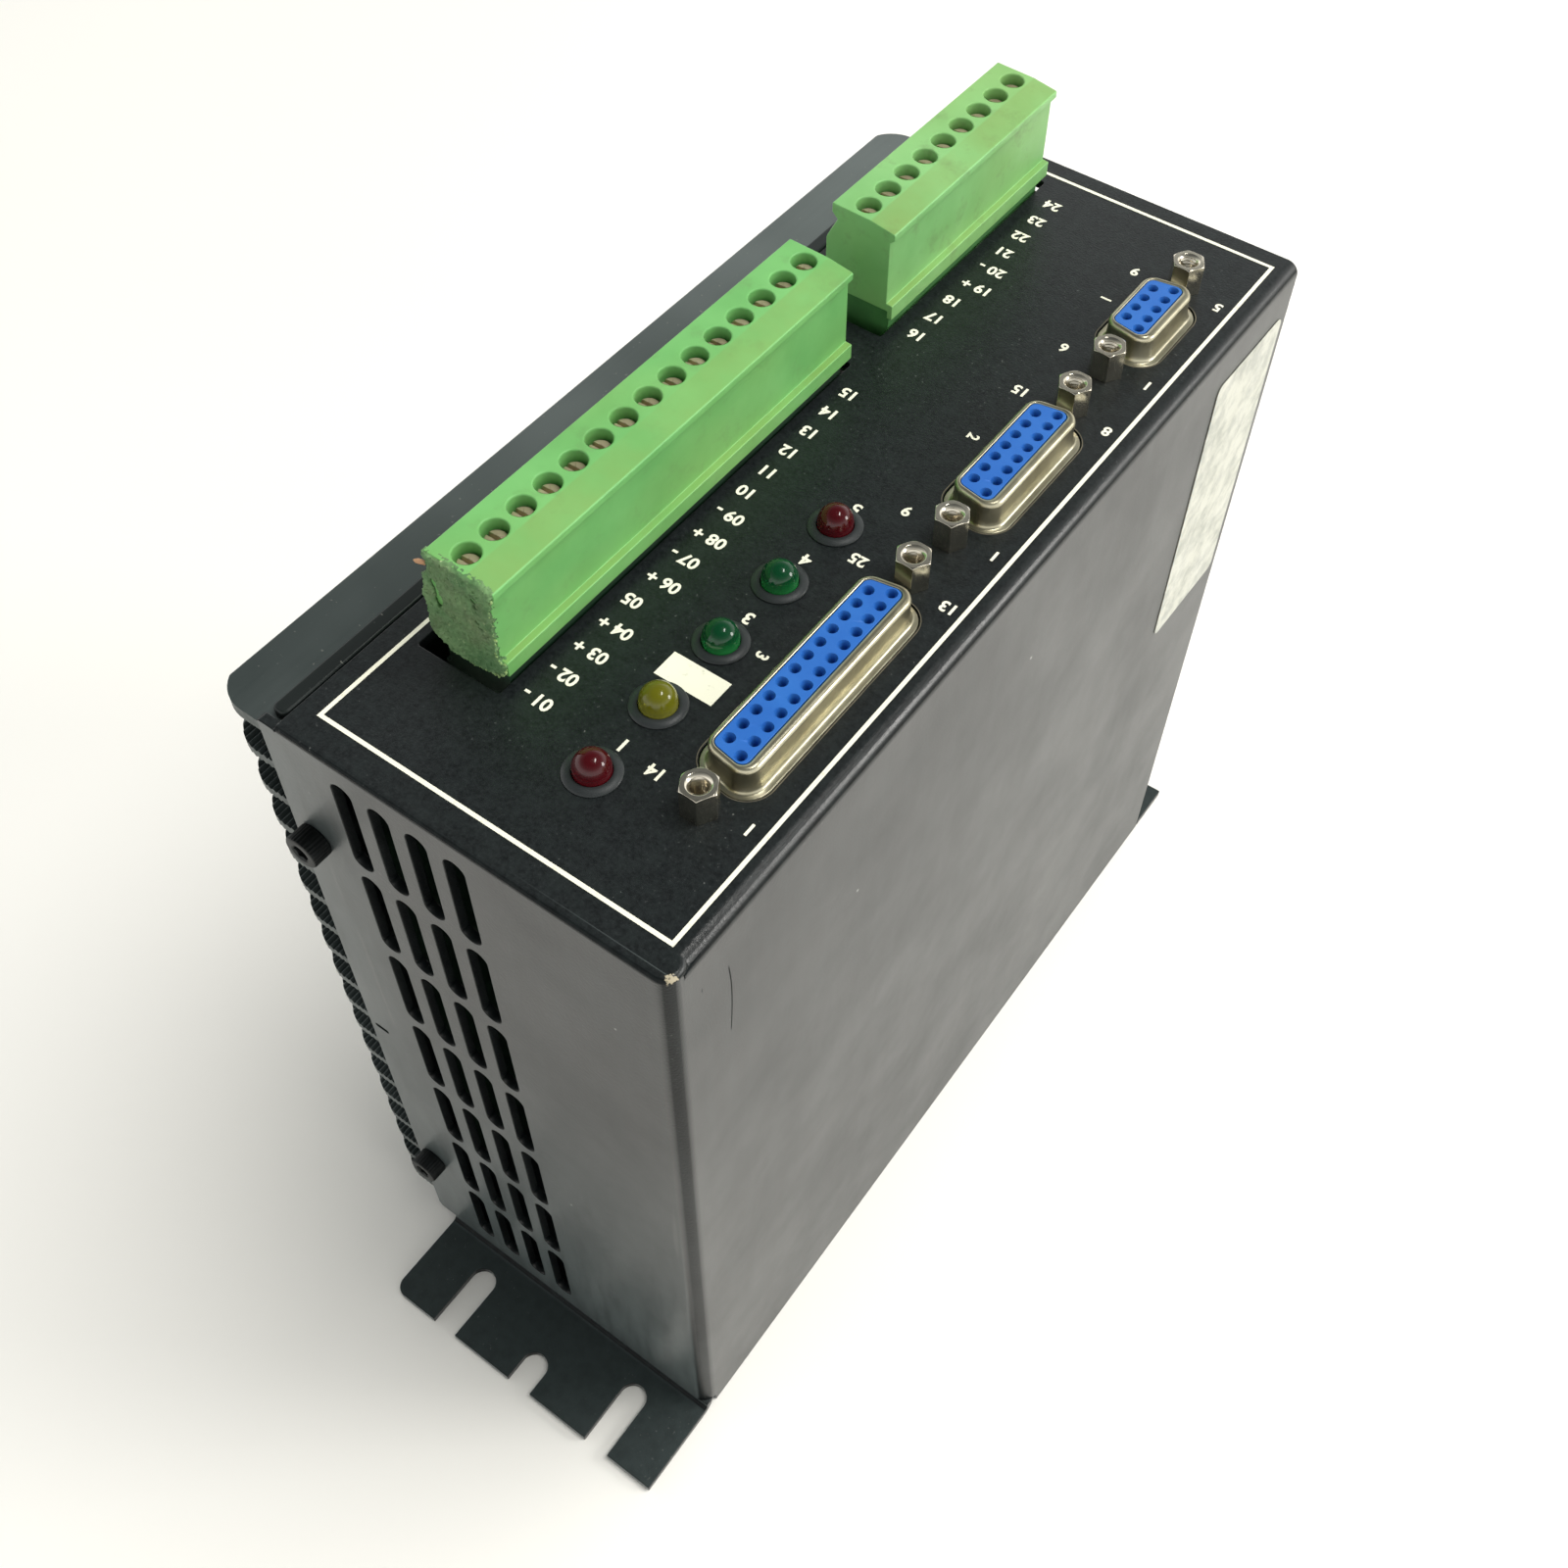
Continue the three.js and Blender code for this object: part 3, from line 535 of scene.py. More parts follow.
def make_sawn(start, top):
    """Torn plastic, with painted shade deep in its pits. The cut is at y = start and the plug's top at z =
    top.
    """
    look = Look("sawn_green")
    tone = look.ramp(look.noise(160, 5, 0.7), 0.36, 0.66)
    base = look.mix((80, 120, 74), (118, 152, 102), tone)
    brown = look.ramp(look.noise(90, 4, 0.7), 0.5, 0.68)
    base = look.mix(base, (98, 96, 74), look.times(brown, 0.5))
    fleck = look.ramp(look.noise(900, 3, 0.7), 0.62, 0.72)
    base = look.mix(base, (172, 192, 140), look.times(fleck, 0.6))
    # Painted shade: the cut face is darkened beyond the cut's surface, in its pits and hollows, away from
    # its top and right edges.
    depth = look.ramp(look.axis("Y"), (start - 0.25) * MM, (start + 0.15) * MM)
    face = look.ramp(look.axis("X"), -6.9 * MM, -6.6 * MM, 1, 0)
    face = look.times(face, look.ramp(look.axis("Z"), (top - 1.1) * MM, (top - 0.7) * MM, 1, 0))
    base = look.mix(base, (16, 24, 16), look.times(look.times(depth, face), 0.9))
    look.set("Base Color", base)
    look.set("Roughness", look.ramp(look.noise(300, 3), 0.3, 0.7, 0.6, 0.85))
    look.bump(look.noise(1500, 4, 0.7), 0.12, 0.8)
    return look.material


def make_metal(name, light, dark, rough, metallic=1.0):
    """Metal with dull patches and fine wear."""
    look = Look(name, Metallic=metallic)
    patch = look.ramp(look.noise(160, 4, 0.65), 0.35, 0.7)
    look.set("Base Color", look.mix(light, dark, patch))
    look.set("Roughness", look.ramp(look.noise(300, 3, 0.5), 0.3, 0.7, rough, rough + 0.1))
    look.bump(look.noise(700, 2), 0.01, 0.15)
    return look.material


def make_plastic(name, light, dark, rough):
    """Moulded plastic or resin with a slightly uneven colour and skin."""
    look = Look(name)
    look.set("Base Color", look.mix(light, dark, look.ramp(look.noise(130, 4, 0.6), 0.35, 0.7)))
    look.set("Roughness", look.ramp(look.noise(220, 3), 0.3, 0.7, rough, rough + 0.12))
    look.bump(look.noise(1600, 2), 0.015, 0.25)
    return look.material


def make_lens(name, colour, glow):
    """Clear coloured epoxy of an indicator lamp, lighter low down where its body gathers light."""
    look = Look(name, IOR=1.48, Specular_IOR_Level=0.45, Transmission_Weight=0.25)
    height = look.maths("SUBTRACT", look.axis("Z"), TOP * MM)
    lower = look.ramp(height, 0.5 * MM, 2.2 * MM, 1, 0)
    cloud = look.ramp(look.noise(500, 2), 0.3, 0.7, 0.7, 1)
    look.set("Base Color", look.mix(colour, glow, look.times(lower, cloud)))
    look.set("Roughness", look.ramp(look.noise(300, 2), 0.3, 0.7, 0.05, 0.12))
    return look.material


def make_print():
    """Cream screen-print ink, thin in places."""
    look = Look("print_ink")
    thin = look.ramp(look.noise(700, 3, 0.7), 0.6, 0.78)
    look.set("Base Color", look.mix((244, 242, 222), (176, 174, 156), look.times(thin, 0.6)))
    look.set("Roughness", look.ramp(look.noise(400, 2), 0.3, 0.7, 0.45, 0.6))
    return look.material


def make_label():
    """A worn film label with a wrinkled, rubbed surface."""
    look = Look("label_film")
    rubbed = look.ramp(look.noise(220, 5, 0.7), 0.42, 0.62)
    base = look.mix((200, 200, 188), (166, 168, 158), rubbed)
    look.set("Base Color", base)
    look.set("Roughness", look.ramp(look.noise(150, 4), 0.3, 0.7, 0.35, 0.6))
    look.bump(look.noise(260, 4, 0.6), 0.08, 0.5)
    return look.material


PAINT = make_paint()
ANODISED = make_anodised("black_anodised", (110, 118, 117), (60, 68, 67))
# The bead is the same anodised metal as the fins; this darker copy is painted shade, for the darker
# reflection it catches.
SHADED_BEAD_ANODISED = make_anodised("bead_anodised_painted_shade", (40, 47, 46), (22, 28, 27))
GREENS = {
    "terminal_plug_15": make_green("green_plastic", (116, 182, 106), (98, 164, 90), 0.25),
    "terminal_plug_9": make_green("faded_green", (130, 188, 118), (110, 168, 98), 0.4),
}
SAWN_GREEN = make_sawn(low("terminal_plug_15").y, high("terminal_plug_15").z)
BURR_GREEN = make_green("burr_green", (158, 186, 122), (116, 150, 92), 0.3)
# The long plug's header is coloured far darker than its green plastic: painted shade, for the deep shadow
# in the gap under its plug.
HEADER_GREENS = {
    "terminal_header_15": make_plastic("header_green", (22, 52, 32), (14, 36, 22), 0.6),
    "terminal_header_9": make_plastic("faded_header_green", (70, 128, 66), (54, 104, 52), 0.6),
}
FIBRE = make_plastic("torn_fibre", (198, 152, 112), (170, 120, 88), 0.6)
BLUE = make_plastic("blue_plastic", (36, 96, 178), (44, 106, 186), 0.34)
PLATED = make_metal("plated_steel", (200, 195, 170), (172, 166, 140), 0.28)
NICKEL = make_metal("nickel_brass", (230, 223, 206), (208, 201, 184), 0.14)
WORN = make_metal("worn_edge", (132, 124, 104), (84, 80, 70), 0.5, 0.3)
ZINC = make_metal("zinc_screw", (214, 196, 168), (176, 158, 134), 0.34, 0.5)
BLACK_STEEL = make_metal("black_oxide", (58, 60, 60), (34, 36, 36), 0.42)
BEZEL = make_plastic("bezel_plastic", (44, 48, 49), (34, 38, 39), 0.36)
LENSES = {
    "red": make_lens("lens_red", (72, 8, 16), (104, 20, 30)),
    "yellow": make_lens("lens_yellow", (104, 104, 20), (160, 158, 66)),
    "green": make_lens("lens_green", (6, 66, 36), (52, 160, 82)),
}
LED_LENSES = ("red", "yellow", "green", "green", "red")
INK = make_print()
LABEL = make_label()
BOARD = make_plastic("board_mask", (16, 44, 26), (12, 32, 20), 0.5)
EPOXY = make_plastic("epoxy_black", (30, 30, 31), (22, 22, 23), 0.5)
SLEEVE_FILM = make_plastic("sleeve_film", (34, 38, 48), (26, 30, 38), 0.3)


# ---- Sheet metal ----
def through_wall(side):
    """Where a cutter starts and stops in Y to pass through an end wall."""
    return sorted((side * (END_Y + 1), side * (END_Y - SHEET - 1)))


def end_wall_cutters(side):
    span = through_wall(side)
    width, length = VENT_SIZE
    cutters = []
    for column in range(VENT_COLUMNS):
        for row in range(VENT_ROWS):
            left = VENT_FIRST_X - width / 2 + column * VENT_PITCH[0]
            top = VENT_TOP_Z - row * VENT_PITCH[1]
            outline = rectangle(left, top - length, left + width, top, width * ROUND_END, 8)
            cutters.append(prism(outline, "Y", *span))
    for z in CAP_SCREW_ZS:
        cutters.append(prism(circle(CAP_SCREW_X, z, CAP_HOLE_RADIUS, 24), "Y", *span))
    x, z, width, height = NOTCH
    outline = rectangle(x - width / 2, z - height / 2, x + width / 2, z + height / 2, height * 0.45, 4)
    cutters.append(prism(outline, "Y", *span))
    return cutters


def flange(side, left, right, rise=3):
    """The flange and its bend, running on up the wall by rise."""
    outer, inner, tip = (side * y for y in (END_Y, END_Y - SHEET, END_Y + FLANGE_REACH))
    shoulder = SHEET + FLANGE_BEND + rise
    corners = [
        (inner, shoulder),
        (inner, 0, SHEET + FLANGE_BEND),
        (tip, 0),
        (tip, SHEET),
        (outer, SHEET, FLANGE_BEND),
        (outer, shoulder),
    ]
    return prism(rounded(corners, 10), "X", left, right)


def flange_cutters(side):
    tip = side * (END_Y + FLANGE_REACH)
    beyond = tip + side * 6
    cutters = []
    for x, depth in zip(SLOT_CENTRES, SLOT_DEPTHS):
        near, far = sorted((tip - side * depth, beyond))
        outline = rectangle(x - SLOT_WIDTH / 2, near, x + SLOT_WIDTH / 2, far, SLOT_WIDTH * ROUND_END, 10)
        cutters.append(prism(outline, "Z", -1, SHEET + 1))
    corner = rounded([
        (FLANGE_LEFT_X - 1, tip + side),
        (FLANGE_LEFT_X - 1, tip - side * FLANGE_CORNER),
        (FLANGE_LEFT_X, tip - side * FLANGE_CORNER),
        (FLANGE_LEFT_X, tip, FLANGE_CORNER * 0.98),
        (FLANGE_LEFT_X + FLANGE_CORNER, tip),
        (FLANGE_LEFT_X + FLANGE_CORNER, tip + side),
    ], 8)
    cutters.append(prism(corner, "Z", -1, SHEET + 1))
    return cutters


def wall_corner_cutter(side):
    """Takes off the wall's bottom left corner, slantwise."""
    width, height = END_CORNER_CUT
    corners = [(END_LEFT_X - 1, 0), (END_LEFT_X + width, 0), (END_LEFT_X - 1, height)]
    return prism(corners, "Y", *through_wall(side))


def d_outline(y, length, height, radius, steps, x=DSUB_X):
    """A D-sub outline in X and Y, with its longer side towards +X."""
    narrow = length / 2 - height * DSUB_SLOPE
    return rounded([
        (x - height / 2, y - narrow, radius),
        (x + height / 2, y - length / 2, radius),
        (x + height / 2, y + length / 2, radius),
        (x - height / 2, y + narrow, radius),
    ], steps)


def window_outline(y, length, margin):
    """A D-sub port's outline, widened all round by margin."""
    return d_outline(y, length + 2 * margin, DSUB_HEIGHT + 2 * margin, DSUB_CORNER + margin, 10)


def panel_cutters():
    span = (TOP - SHEET - 1, TOP + 1)
    cutters = []
    for count, first in POLES.values():
        last = first + (count - 1) * POLE_PITCH
        outline = rectangle(
            HEADER_WINDOW_X[0],
            first - HEADER_WINDOW_ENDS[0],
            HEADER_WINDOW_X[1],
            last + HEADER_WINDOW_ENDS[1],
            0.4,
            3,
        )
        cutters.append(prism(outline, "Z", *span))
    for _, y, length in DSUBS.values():
        cutters.append(prism(window_outline(y, length, DSUB_WINDOW_MARGIN), "Z", *span))
    for node in JACKS:
        cutters.append(prism(circle(DSUB_X, middle(node).y, JACK_HOLE_RADIUS, 24), "Z", *span))
    for node in LEDS:
        cutters.append(prism(circle(middle(node).x, middle(node).y, LED_HOLE_RADIUS, 32), "Z", *span))
    return cutters


def bent_section(bottom):
    """The panel and the bend into the side, down to z = bottom, in X and Z."""
    inside, underside = SIDE_X - SHEET, TOP - SHEET
    return rounded([
        (PANEL_LEFT_X, underside),
        (inside, underside, PANEL_BEND - SHEET),
        (inside, bottom),
        (SIDE_X, bottom),
        (SIDE_X, TOP, PANEL_BEND),
        (PANEL_LEFT_X, TOP),
    ], 10)


def corner_post(bottom, top):
    """The near corner between wall and side, rounded over at its top like the fold beside it."""
    steps = 8
    profile = [(CORNER_BEND, bottom)]
    for step in range(steps + 1):
        turn = math.pi / 2 * step / steps
        reach = CORNER_BEND - FOLD_BEND + FOLD_BEND * math.cos(turn)
        profile.append((reach, top - FOLD_BEND + FOLD_BEND * math.sin(turn)))
    return lathe(profile, SIDE_X - CORNER_BEND, -END_Y + CORNER_BEND, "Z", 40)


def build_cover():
    bend_end = -END_Y + CORNER_BEND
    inside = SIDE_X - SHEET
    fold_foot = TOP - FOLD_BEND
    strip_bottom = TOP - SHEET - 1
    lap = 0.4
    panel_and_side = prism(bent_section(0), "Y", bend_end, FAR_EDGE_Y)
    near_strip = prism(bent_section(strip_bottom), "Y", PANEL_NEAR_Y, bend_end + lap)
    strip_plan = rounded([
        (PANEL_LEFT_X - 1, PANEL_NEAR_Y),
        (SIDE_X, PANEL_NEAR_Y, PANEL_CORNER),
        (SIDE_X, bend_end + 2),
        (PANEL_LEFT_X - 1, bend_end + 2),
    ], 8)
    combine(near_strip, prism(strip_plan, "Z", TOP - 8, TOP + 1), "INTERSECT")
    near_wall = prism(rounded([
        (END_LEFT_X, -END_Y),
        (SIDE_X, -END_Y, CORNER_BEND),
        (SIDE_X, bend_end + lap),
        (inside, bend_end + lap),
        (inside, -END_Y + SHEET, CORNER_BEND - SHEET),
        (END_LEFT_X, -END_Y + SHEET),
    ], 10), "Z", SHEET + FLANGE_BEND, fold_foot)
    top_fold = prism(rounded([
        (-END_Y, fold_foot - lap),
        (-END_Y + SHEET, fold_foot - lap),
        (-END_Y + SHEET, TOP),
        (-END_Y, TOP, FOLD_BEND),
    ], 8), "X", PANEL_LEFT_X, SIDE_X - CORNER_BEND)
    tab = prism(rounded([
        (END_LEFT_X, fold_foot - 1),
        (PANEL_LEFT_X + 0.2, fold_foot - 1),
        (PANEL_LEFT_X + 0.2, TOP - TAB_DROP),
        (END_LEFT_X, TOP - TAB_DROP, 0.5),
    ]), "Y", -END_Y, -END_Y + SHEET)
    sheet = united([
        panel_and_side,
        near_strip,
        near_wall,
        top_fold,
        tab,
        corner_post(fold_foot - lap, TOP),
        flange(-1, FLANGE_LEFT_X, SIDE_X - CORNER_BEND),
        flange(-1, SIDE_X - CORNER_BEND - lap, SIDE_X, lap),
    ])
    cut(sheet, panel_cutters() + end_wall_cutters(-1) + flange_cutters(-1) + [wall_corner_cutter(-1)])
    finish_piece(soften(sheet, levels=END_WALL_LEVELS), "cover_sheet", PAINT, ["cover"])


def build_far_end():
    right = high("base_plate").x
    wall = prism(
        rectangle(END_LEFT_X, SHEET + FLANGE_BEND, right, high("far_end_plate").z),
        "Y",
        END_Y - SHEET,
        END_Y,
    )
    ear = prism(
        rectangle(right - 0.4, FAR_EDGE_Y + GAP, SIDE_X, END_Y + FLANGE_REACH),
        "Z",
        0,
        SHEET,
    )
    plate = united([wall, flange(1, FLANGE_LEFT_X, right), ear])
    cut(plate, end_wall_cutters(1) + flange_cutters(1) + [wall_corner_cutter(1)])
    finish_piece(soften(plate, levels=END_WALL_LEVELS), "far_end_sheet", PAINT, ["far_end_plate"])


def build_base():
    """The plate between the flanges, tucked under the heatsink's spine so that no light gets past."""
    lower, upper = low("base_plate"), high("base_plate")
    plate = prism(rectangle(SPINE_INNER_X - 0.4, lower.y, upper.x, upper.y), "Z", lower.z, upper.z)
    finish_piece(soften(plate), "base_sheet", PAINT, ["base_plate"])


# ---- Heatsink ----
SPINE_INSET = 8.7
BEAD_OUTER_X = -28.7
BEAD_END_Y = 76.5
BOSS_HALF_HEIGHT = 3
FIN_COUNT = 17
FIN_PITCH = 8.6
FIN_THICKNESS = 2
FIN_CORNER = 5.5
GROOVE_PITCH = 1.0
GROOVE_DEPTH = 0.42


def fin_outline(left, right, top):
    """A fin's section in X and Z: a round tip and fine grooves along both faces."""
    bottom = top - FIN_THICKNESS
    steps = 6
    count = int((right - left - 1.2) / GROOVE_PITCH * steps)
    xs = [left + 1 + step * GROOVE_PITCH / steps for step in range(count)]
    dip = [GROOVE_DEPTH / 2 * (1 - math.cos(math.tau * step / steps)) for step in range(count)]
    upper = [(x, top - d) for x, d in zip(xs, dip)]
    lower = [(x, bottom + d) for x, d in zip(xs, dip)]
    tip = [(left + 0.5, bottom + 0.1), (left + 0.1, bottom + 0.5), (left, (top + bottom) / 2)]
    tip += [(left + 0.1, top - 0.5), (left + 0.5, top - 0.1)]
    return [(right, bottom)] + lower[::-1] + tip + upper + [(right, top)]


def build_heatsink():
    left = low("heatsink").x
    inner = SPINE_INNER_X
    plate_top = TOP - SHEET
    end = END_Y - SHEET - GAP
    fin_end = high("heatsink").y
    root = END_LEFT_X - GAP
    fins = []
    for index in range(FIN_COUNT + 1):
        top = plate_top - index * FIN_PITCH
        if index == 0:
            outline = rounded([
                (left, top - FIN_THICKNESS, 0.5),
                (root, top - FIN_THICKNESS),
                (root, top),
                (left, top, 0.35),
            ], 4)
        else:
            outline = fin_outline(left, root, top)
        fins.append(prism(outline, "Y", -fin_end - 1, fin_end + 1))
    plan = rounded([
        (left - 0.5, -fin_end, FIN_CORNER + 0.5),
        (root + 1, -fin_end),
        (root + 1, fin_end),
        (left - 0.5, fin_end, FIN_CORNER + 0.5),
    ], 12)
    comb = combine(joined(fins), prism(plan, "Z", 0, TOP), "INTERSECT")
    spine = prism(rectangle(left + SPINE_INSET, low("heatsink").z, inner, plate_top), "Y", -end, end)
    bosses = []
    for z in CAP_SCREW_ZS:
        bottom, top = z - BOSS_HALF_HEIGHT, z + BOSS_HALF_HEIGHT
        bosses.append(prism(rectangle(inner - 0.4, bottom, high("heatsink").x, top), "Y", -end, end))
    sink = united([spine, comb] + bosses)
    finish_piece(smooth(flatten(sink), 40), "heatsink_fins", ANODISED, ["heatsink"])
    bead_plan = rectangle(BEAD_OUTER_X, -BEAD_END_Y, inner, BEAD_END_Y, 1.0, 8)
    bead = prism(bead_plan, "Z", plate_top - 0.3, TOP)
    # The bead takes the darker copy of the finish: painted shade.
    finish_piece(soften(bead, 0.45, 4), "heatsink_bead", SHADED_BEAD_ANODISED)


# ---- Screws ----
CAP_HEAD_RADIUS = 2.8
CAP_HEAD_SHAPE = ((0.86, 0), (0.96, 0.12), (1.0, 0.4), (1.0, 3.1), (0.95, 3.3))
CAP_SHANK_RADIUS = 1.5
HEX_SOCKET_RADIUS = 1.45
KNURLS = 30
KNURL_DEPTH = 0.045              # as a share of the head's radius
CLAMP_SCREW_RADIUS = 1.6


def build_cap_screw(node):
    """A socket cap screw with a knurled head."""
    x, z = middle(node).x, middle(node).z
    side = -1 if middle(node).y < 0 else 1
    face = side * (END_Y + 3.35)
    seat = side * (END_Y + 0.05)
    steps = KNURLS * 4
    rings = []
    for share, depth in CAP_HEAD_SHAPE:
        outline = []
        for step in range(steps):
            turn = math.tau * step / steps
            grooved = share == 1.0 and step % 4 < 2
            reach = CAP_HEAD_RADIUS * share * (1 - KNURL_DEPTH if grooved else 1)
            outline.append((x + reach * math.cos(turn), face - side * depth, z + reach * math.sin(turn)))
        rings.append(outline)
    head = loft(rings)
    shank_span = sorted((seat + side * 0.3, seat - side * 8.9))
    shank = prism(circle(x, z, CAP_SHANK_RADIUS, 20), "Y", *shank_span)
    screw = united([head, shank])
    hexagon = prism(circle(x, z, HEX_SOCKET_RADIUS, 6), "Y", *sorted((face + side, face - side * 1.8)))
    mouth = [(1.75, face + side * 0.1), (1.2, face - side * 0.35)]
    cone = lathe(sorted(mouth, key=lambda point: point[1]), x, z, "Y", 24)
    cut(screw, [hexagon])
    combine(screw, cone, "DIFFERENCE")
    finish_piece(smooth(flatten(screw), 35), f"{node}_detail", BLACK_STEEL, [node])


def clamp_screw_mesh(node):
    """A slotted clamp screw with a rounded rim, as left by a well-used screwdriver."""
    x, y = middle(node).x, middle(node).y
    bottom, top = low(node).z, high(node).z
    radius = CLAMP_SCREW_RADIUS
    profile = [
        (radius, bottom),
        (radius, top - 0.35),
        (radius - 0.1, top - 0.12),
        (radius - 0.35, top),
        (0.4, top + 0.03),
    ]
    screw = lathe(profile, x, y, "Z", 32)
    slot = prism(rectangle(x - 2, y - 0.3, x + 2, y + 0.3), "Z", top - 0.9, top + 1)
    cut(screw, [slot])
    return screw


def build_clamp_screws():
    for node in sorted(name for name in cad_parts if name.startswith("terminal_screw")):
        screw = clamp_screw_mesh(node)
        body = node.replace("terminal_", "clamp_")
        finish_piece(soften(screw, 0.07, 2), f"{node}_detail", ZINC, [node], body)


# ---- Terminal plugs ----
BURR_COUNT = 90
TEAR_SEED = 7                    # noise_vector takes its offset from the clock unless it is seeded


def plug_outline():
    """The plug's section in X and Z. Its skirt hangs outside the header's rim."""
    top, bottom = high("terminal_plug_15").z, TOP + 3.7
    return rounded([
        (-17.3, top, 0.25),
        (-17.3, top - 1.6, 0.2),
        (-16.3, top - 2.6, 0.2),
        (-18.2, top - 6.4, 1),
        (-18.2, bottom + 1.3, 0.3),
        (-17.2, bottom, 0.2),
        (-6.6, bottom),
        (-6.6, SKIRT_BOTTOM),
        (-5.7, SKIRT_BOTTOM, 0.15),
        (-5.7, LEDGE, 0.2),
        (-6.8, LEDGE + 0.1),
        (-6.8, top - 2.7, 0.2),
        (-6, top - 2, 0.2),
        (-6, top - 0.9, 0.3),
        (-10.4, top - 0.2),
    ], 4)


def pole_cutters(y, top):
    """One pole's screw hole, wire mouth and pin socket."""
    hole = [
        (SCREW_HOLE_RADIUS, TOP + 11.1),
        (SCREW_HOLE_RADIUS, top - 0.25),
        (SCREW_HOLE_RADIUS + 0.18, top - 0.02),
        (SCREW_HOLE_RADIUS + 0.18, top + 1),
    ]
    mouth = rectangle(y - MOUTH_HALF_WIDTH, TOP + 5.6, y + MOUTH_HALF_WIDTH, TOP + 9.4, 0.3, 3)
    left, right = POLE_X - PIN_HALF_WIDTH, POLE_X + PIN_HALF_WIDTH
    socket = rectangle(left, y - PIN_HALF_WIDTH, right, y + PIN_HALF_WIDTH)
    return [
        lathe(hole, POLE_X, y),
        prism(mouth, "X", -20, -12.2),
        prism(socket, "Z", TOP - 7, TOP + 1),
    ]


def build_plug(node):
    count, first = POLES[node]
    start, end = low(node).y, high(node).y
    top = high(node).z
    last = first + (count - 1) * POLE_PITCH
    body = prism(plug_outline(), "Y", start, end)
    tongue = prism(rectangle(-16.3, low(node).z, -8.6, TOP + 4.1), "Y", first - 1.1, last + 1.1)
    united([body, tongue])
    cutters = []
    for index in range(count):
        y = first + index * POLE_PITCH
        cutters += pole_cutters(y, top)
        if index:
            seam = y - POLE_PITCH / 2
            groove = rectangle(seam - 0.14, TOP + 4.6, seam + 0.14, top - 7.2)
            cutters.append(prism(groove, "X", -19, -17.95))
    cut(body, cutters)
    moving_body = node.replace("terminal_", "")
    finish_piece(soften(body, 0.14, 2), f"{node}_body", GREENS[node], [node], moving_body)


def build_sawn_end():
    """The rough end of the long plug, where it was cut from a longer strip."""
    node = "terminal_plug_15"
    start, top = low(node).y, high(node).z
    outline = [
        (-17.5, top), (-17.1, top - 1.8), (-16.6, top - 2.6), (-17.7, top - 4),
        (-18.7, top - 8.6), (-18.5, top - 12.4), (-18.5, top - 15.2), (-16.3, top - 16.6),
        (-15.4, top - 17.6), (-12, top - 17.7), (-8.9, top - 17), (-7, top - 16.6),
        (-5.8, top - 15.4), (-5.75, top - 13.9), (-6.85, top - 13.6), (-6.8, top - 2.7),
        (-6.1, top - 2), (-6.1, top - 0.9), (-10.4, top - 0.2),
    ]
    slab = prism(outline, "Y", start - 0.45, start + 0.8)
    cavity = [(-17.0, top - 4.2), (-15.9, top - 4.4), (-15.1, top - 8.6), (-16.2, top - 9.4)]
    pits = [
        (-9.4, 3.1, 0.4),
        (-9.5, 4.1, 0.48),
        (-9.3, 5.2, 0.4),
        (-9.5, 7.9, 0.46),
        (-9.1, 8.9, 0.36),
        (-8.6, 12.6, 0.3),
        (-13.4, 2.6, 0.3),
    ]
    hollows = [cavity] + [circle(x, top - drop, radius, 8) for x, drop, radius in pits]
    holes = [prism(hollow, "Y", start - 1, start + 0.6) for hollow in hollows]
    cut(slab, holes)
    remesh = slab.modifiers.new("remesh", "REMESH")
    remesh.mode = "VOXEL"
    remesh.voxel_size = 0.16 * MM
    settle(slab)
    for vertex in slab.data.vertices:
        place = vertex.co / MM
        coarse = noise.noise_vector(place * 0.55)
        fine = noise.noise_vector(place * 2.3)
        grit = noise.noise_vector(place * 6)
        push = coarse * 0.26 + fine * 0.26 + grit * 0.14
        if place.y > start + 0.3:
            push *= 0.3
        vertex.co += Vector((push.x * 0.9, push.y, push.z * 0.9)) * MM
    finish_piece(smooth(slab, 70), "plug_sawn_end", SAWN_GREEN, (), "plug_15")

    burrs = []
    edge = [Vector((x, start - 0.3, z)) for x, z in outline[9:17]]
    for index in range(BURR_COUNT):
        share = index / BURR_COUNT * (len(edge) - 1)
        here = edge[int(share)].lerp(edge[int(share) + 1], share % 1)
        wobble = noise.noise_vector(here * 3.7)
        radius = 0.05 + 0.38 * max(0, noise.noise(here * 2.9))
        shift = wobble * 0.5
        shift.y *= 0.5
        burrs.append(pebble(here + shift, (radius, radius, radius * 1.7), wobble.x * 3))
    finish_piece(smooth(joined(burrs), 80), "plug_sawn_burrs", BURR_GREEN, (), "plug_15")
    fibre = pebble(Vector((-18, start - 0.2, top - 2.4)), (1.35, 0.3, 0.42), math.radians(-24))
    finish_piece(smooth(fibre, 80), "plug_torn_fibre", FIBRE, (), "plug_15")


def pebble(centre, radii, tilt=0):
    """A small uneven lump, with its radii along X, Y and Z."""
    mesh = bmesh.new()
    bmesh.ops.create_icosphere(mesh, subdivisions=2, radius=1)
    for vertex in mesh.verts:
        bulge = 1 + 0.35 * noise.noise(vertex.co * 1.7 + centre)
        vertex.co = Vector([value * radius * bulge for value, radius in zip(vertex.co, radii)])
    turn = Matrix.Rotation(tilt, 3, "Y")
    for vertex in mesh.verts:
        vertex.co = (turn @ vertex.co + centre) * MM
    return to_object(mesh)


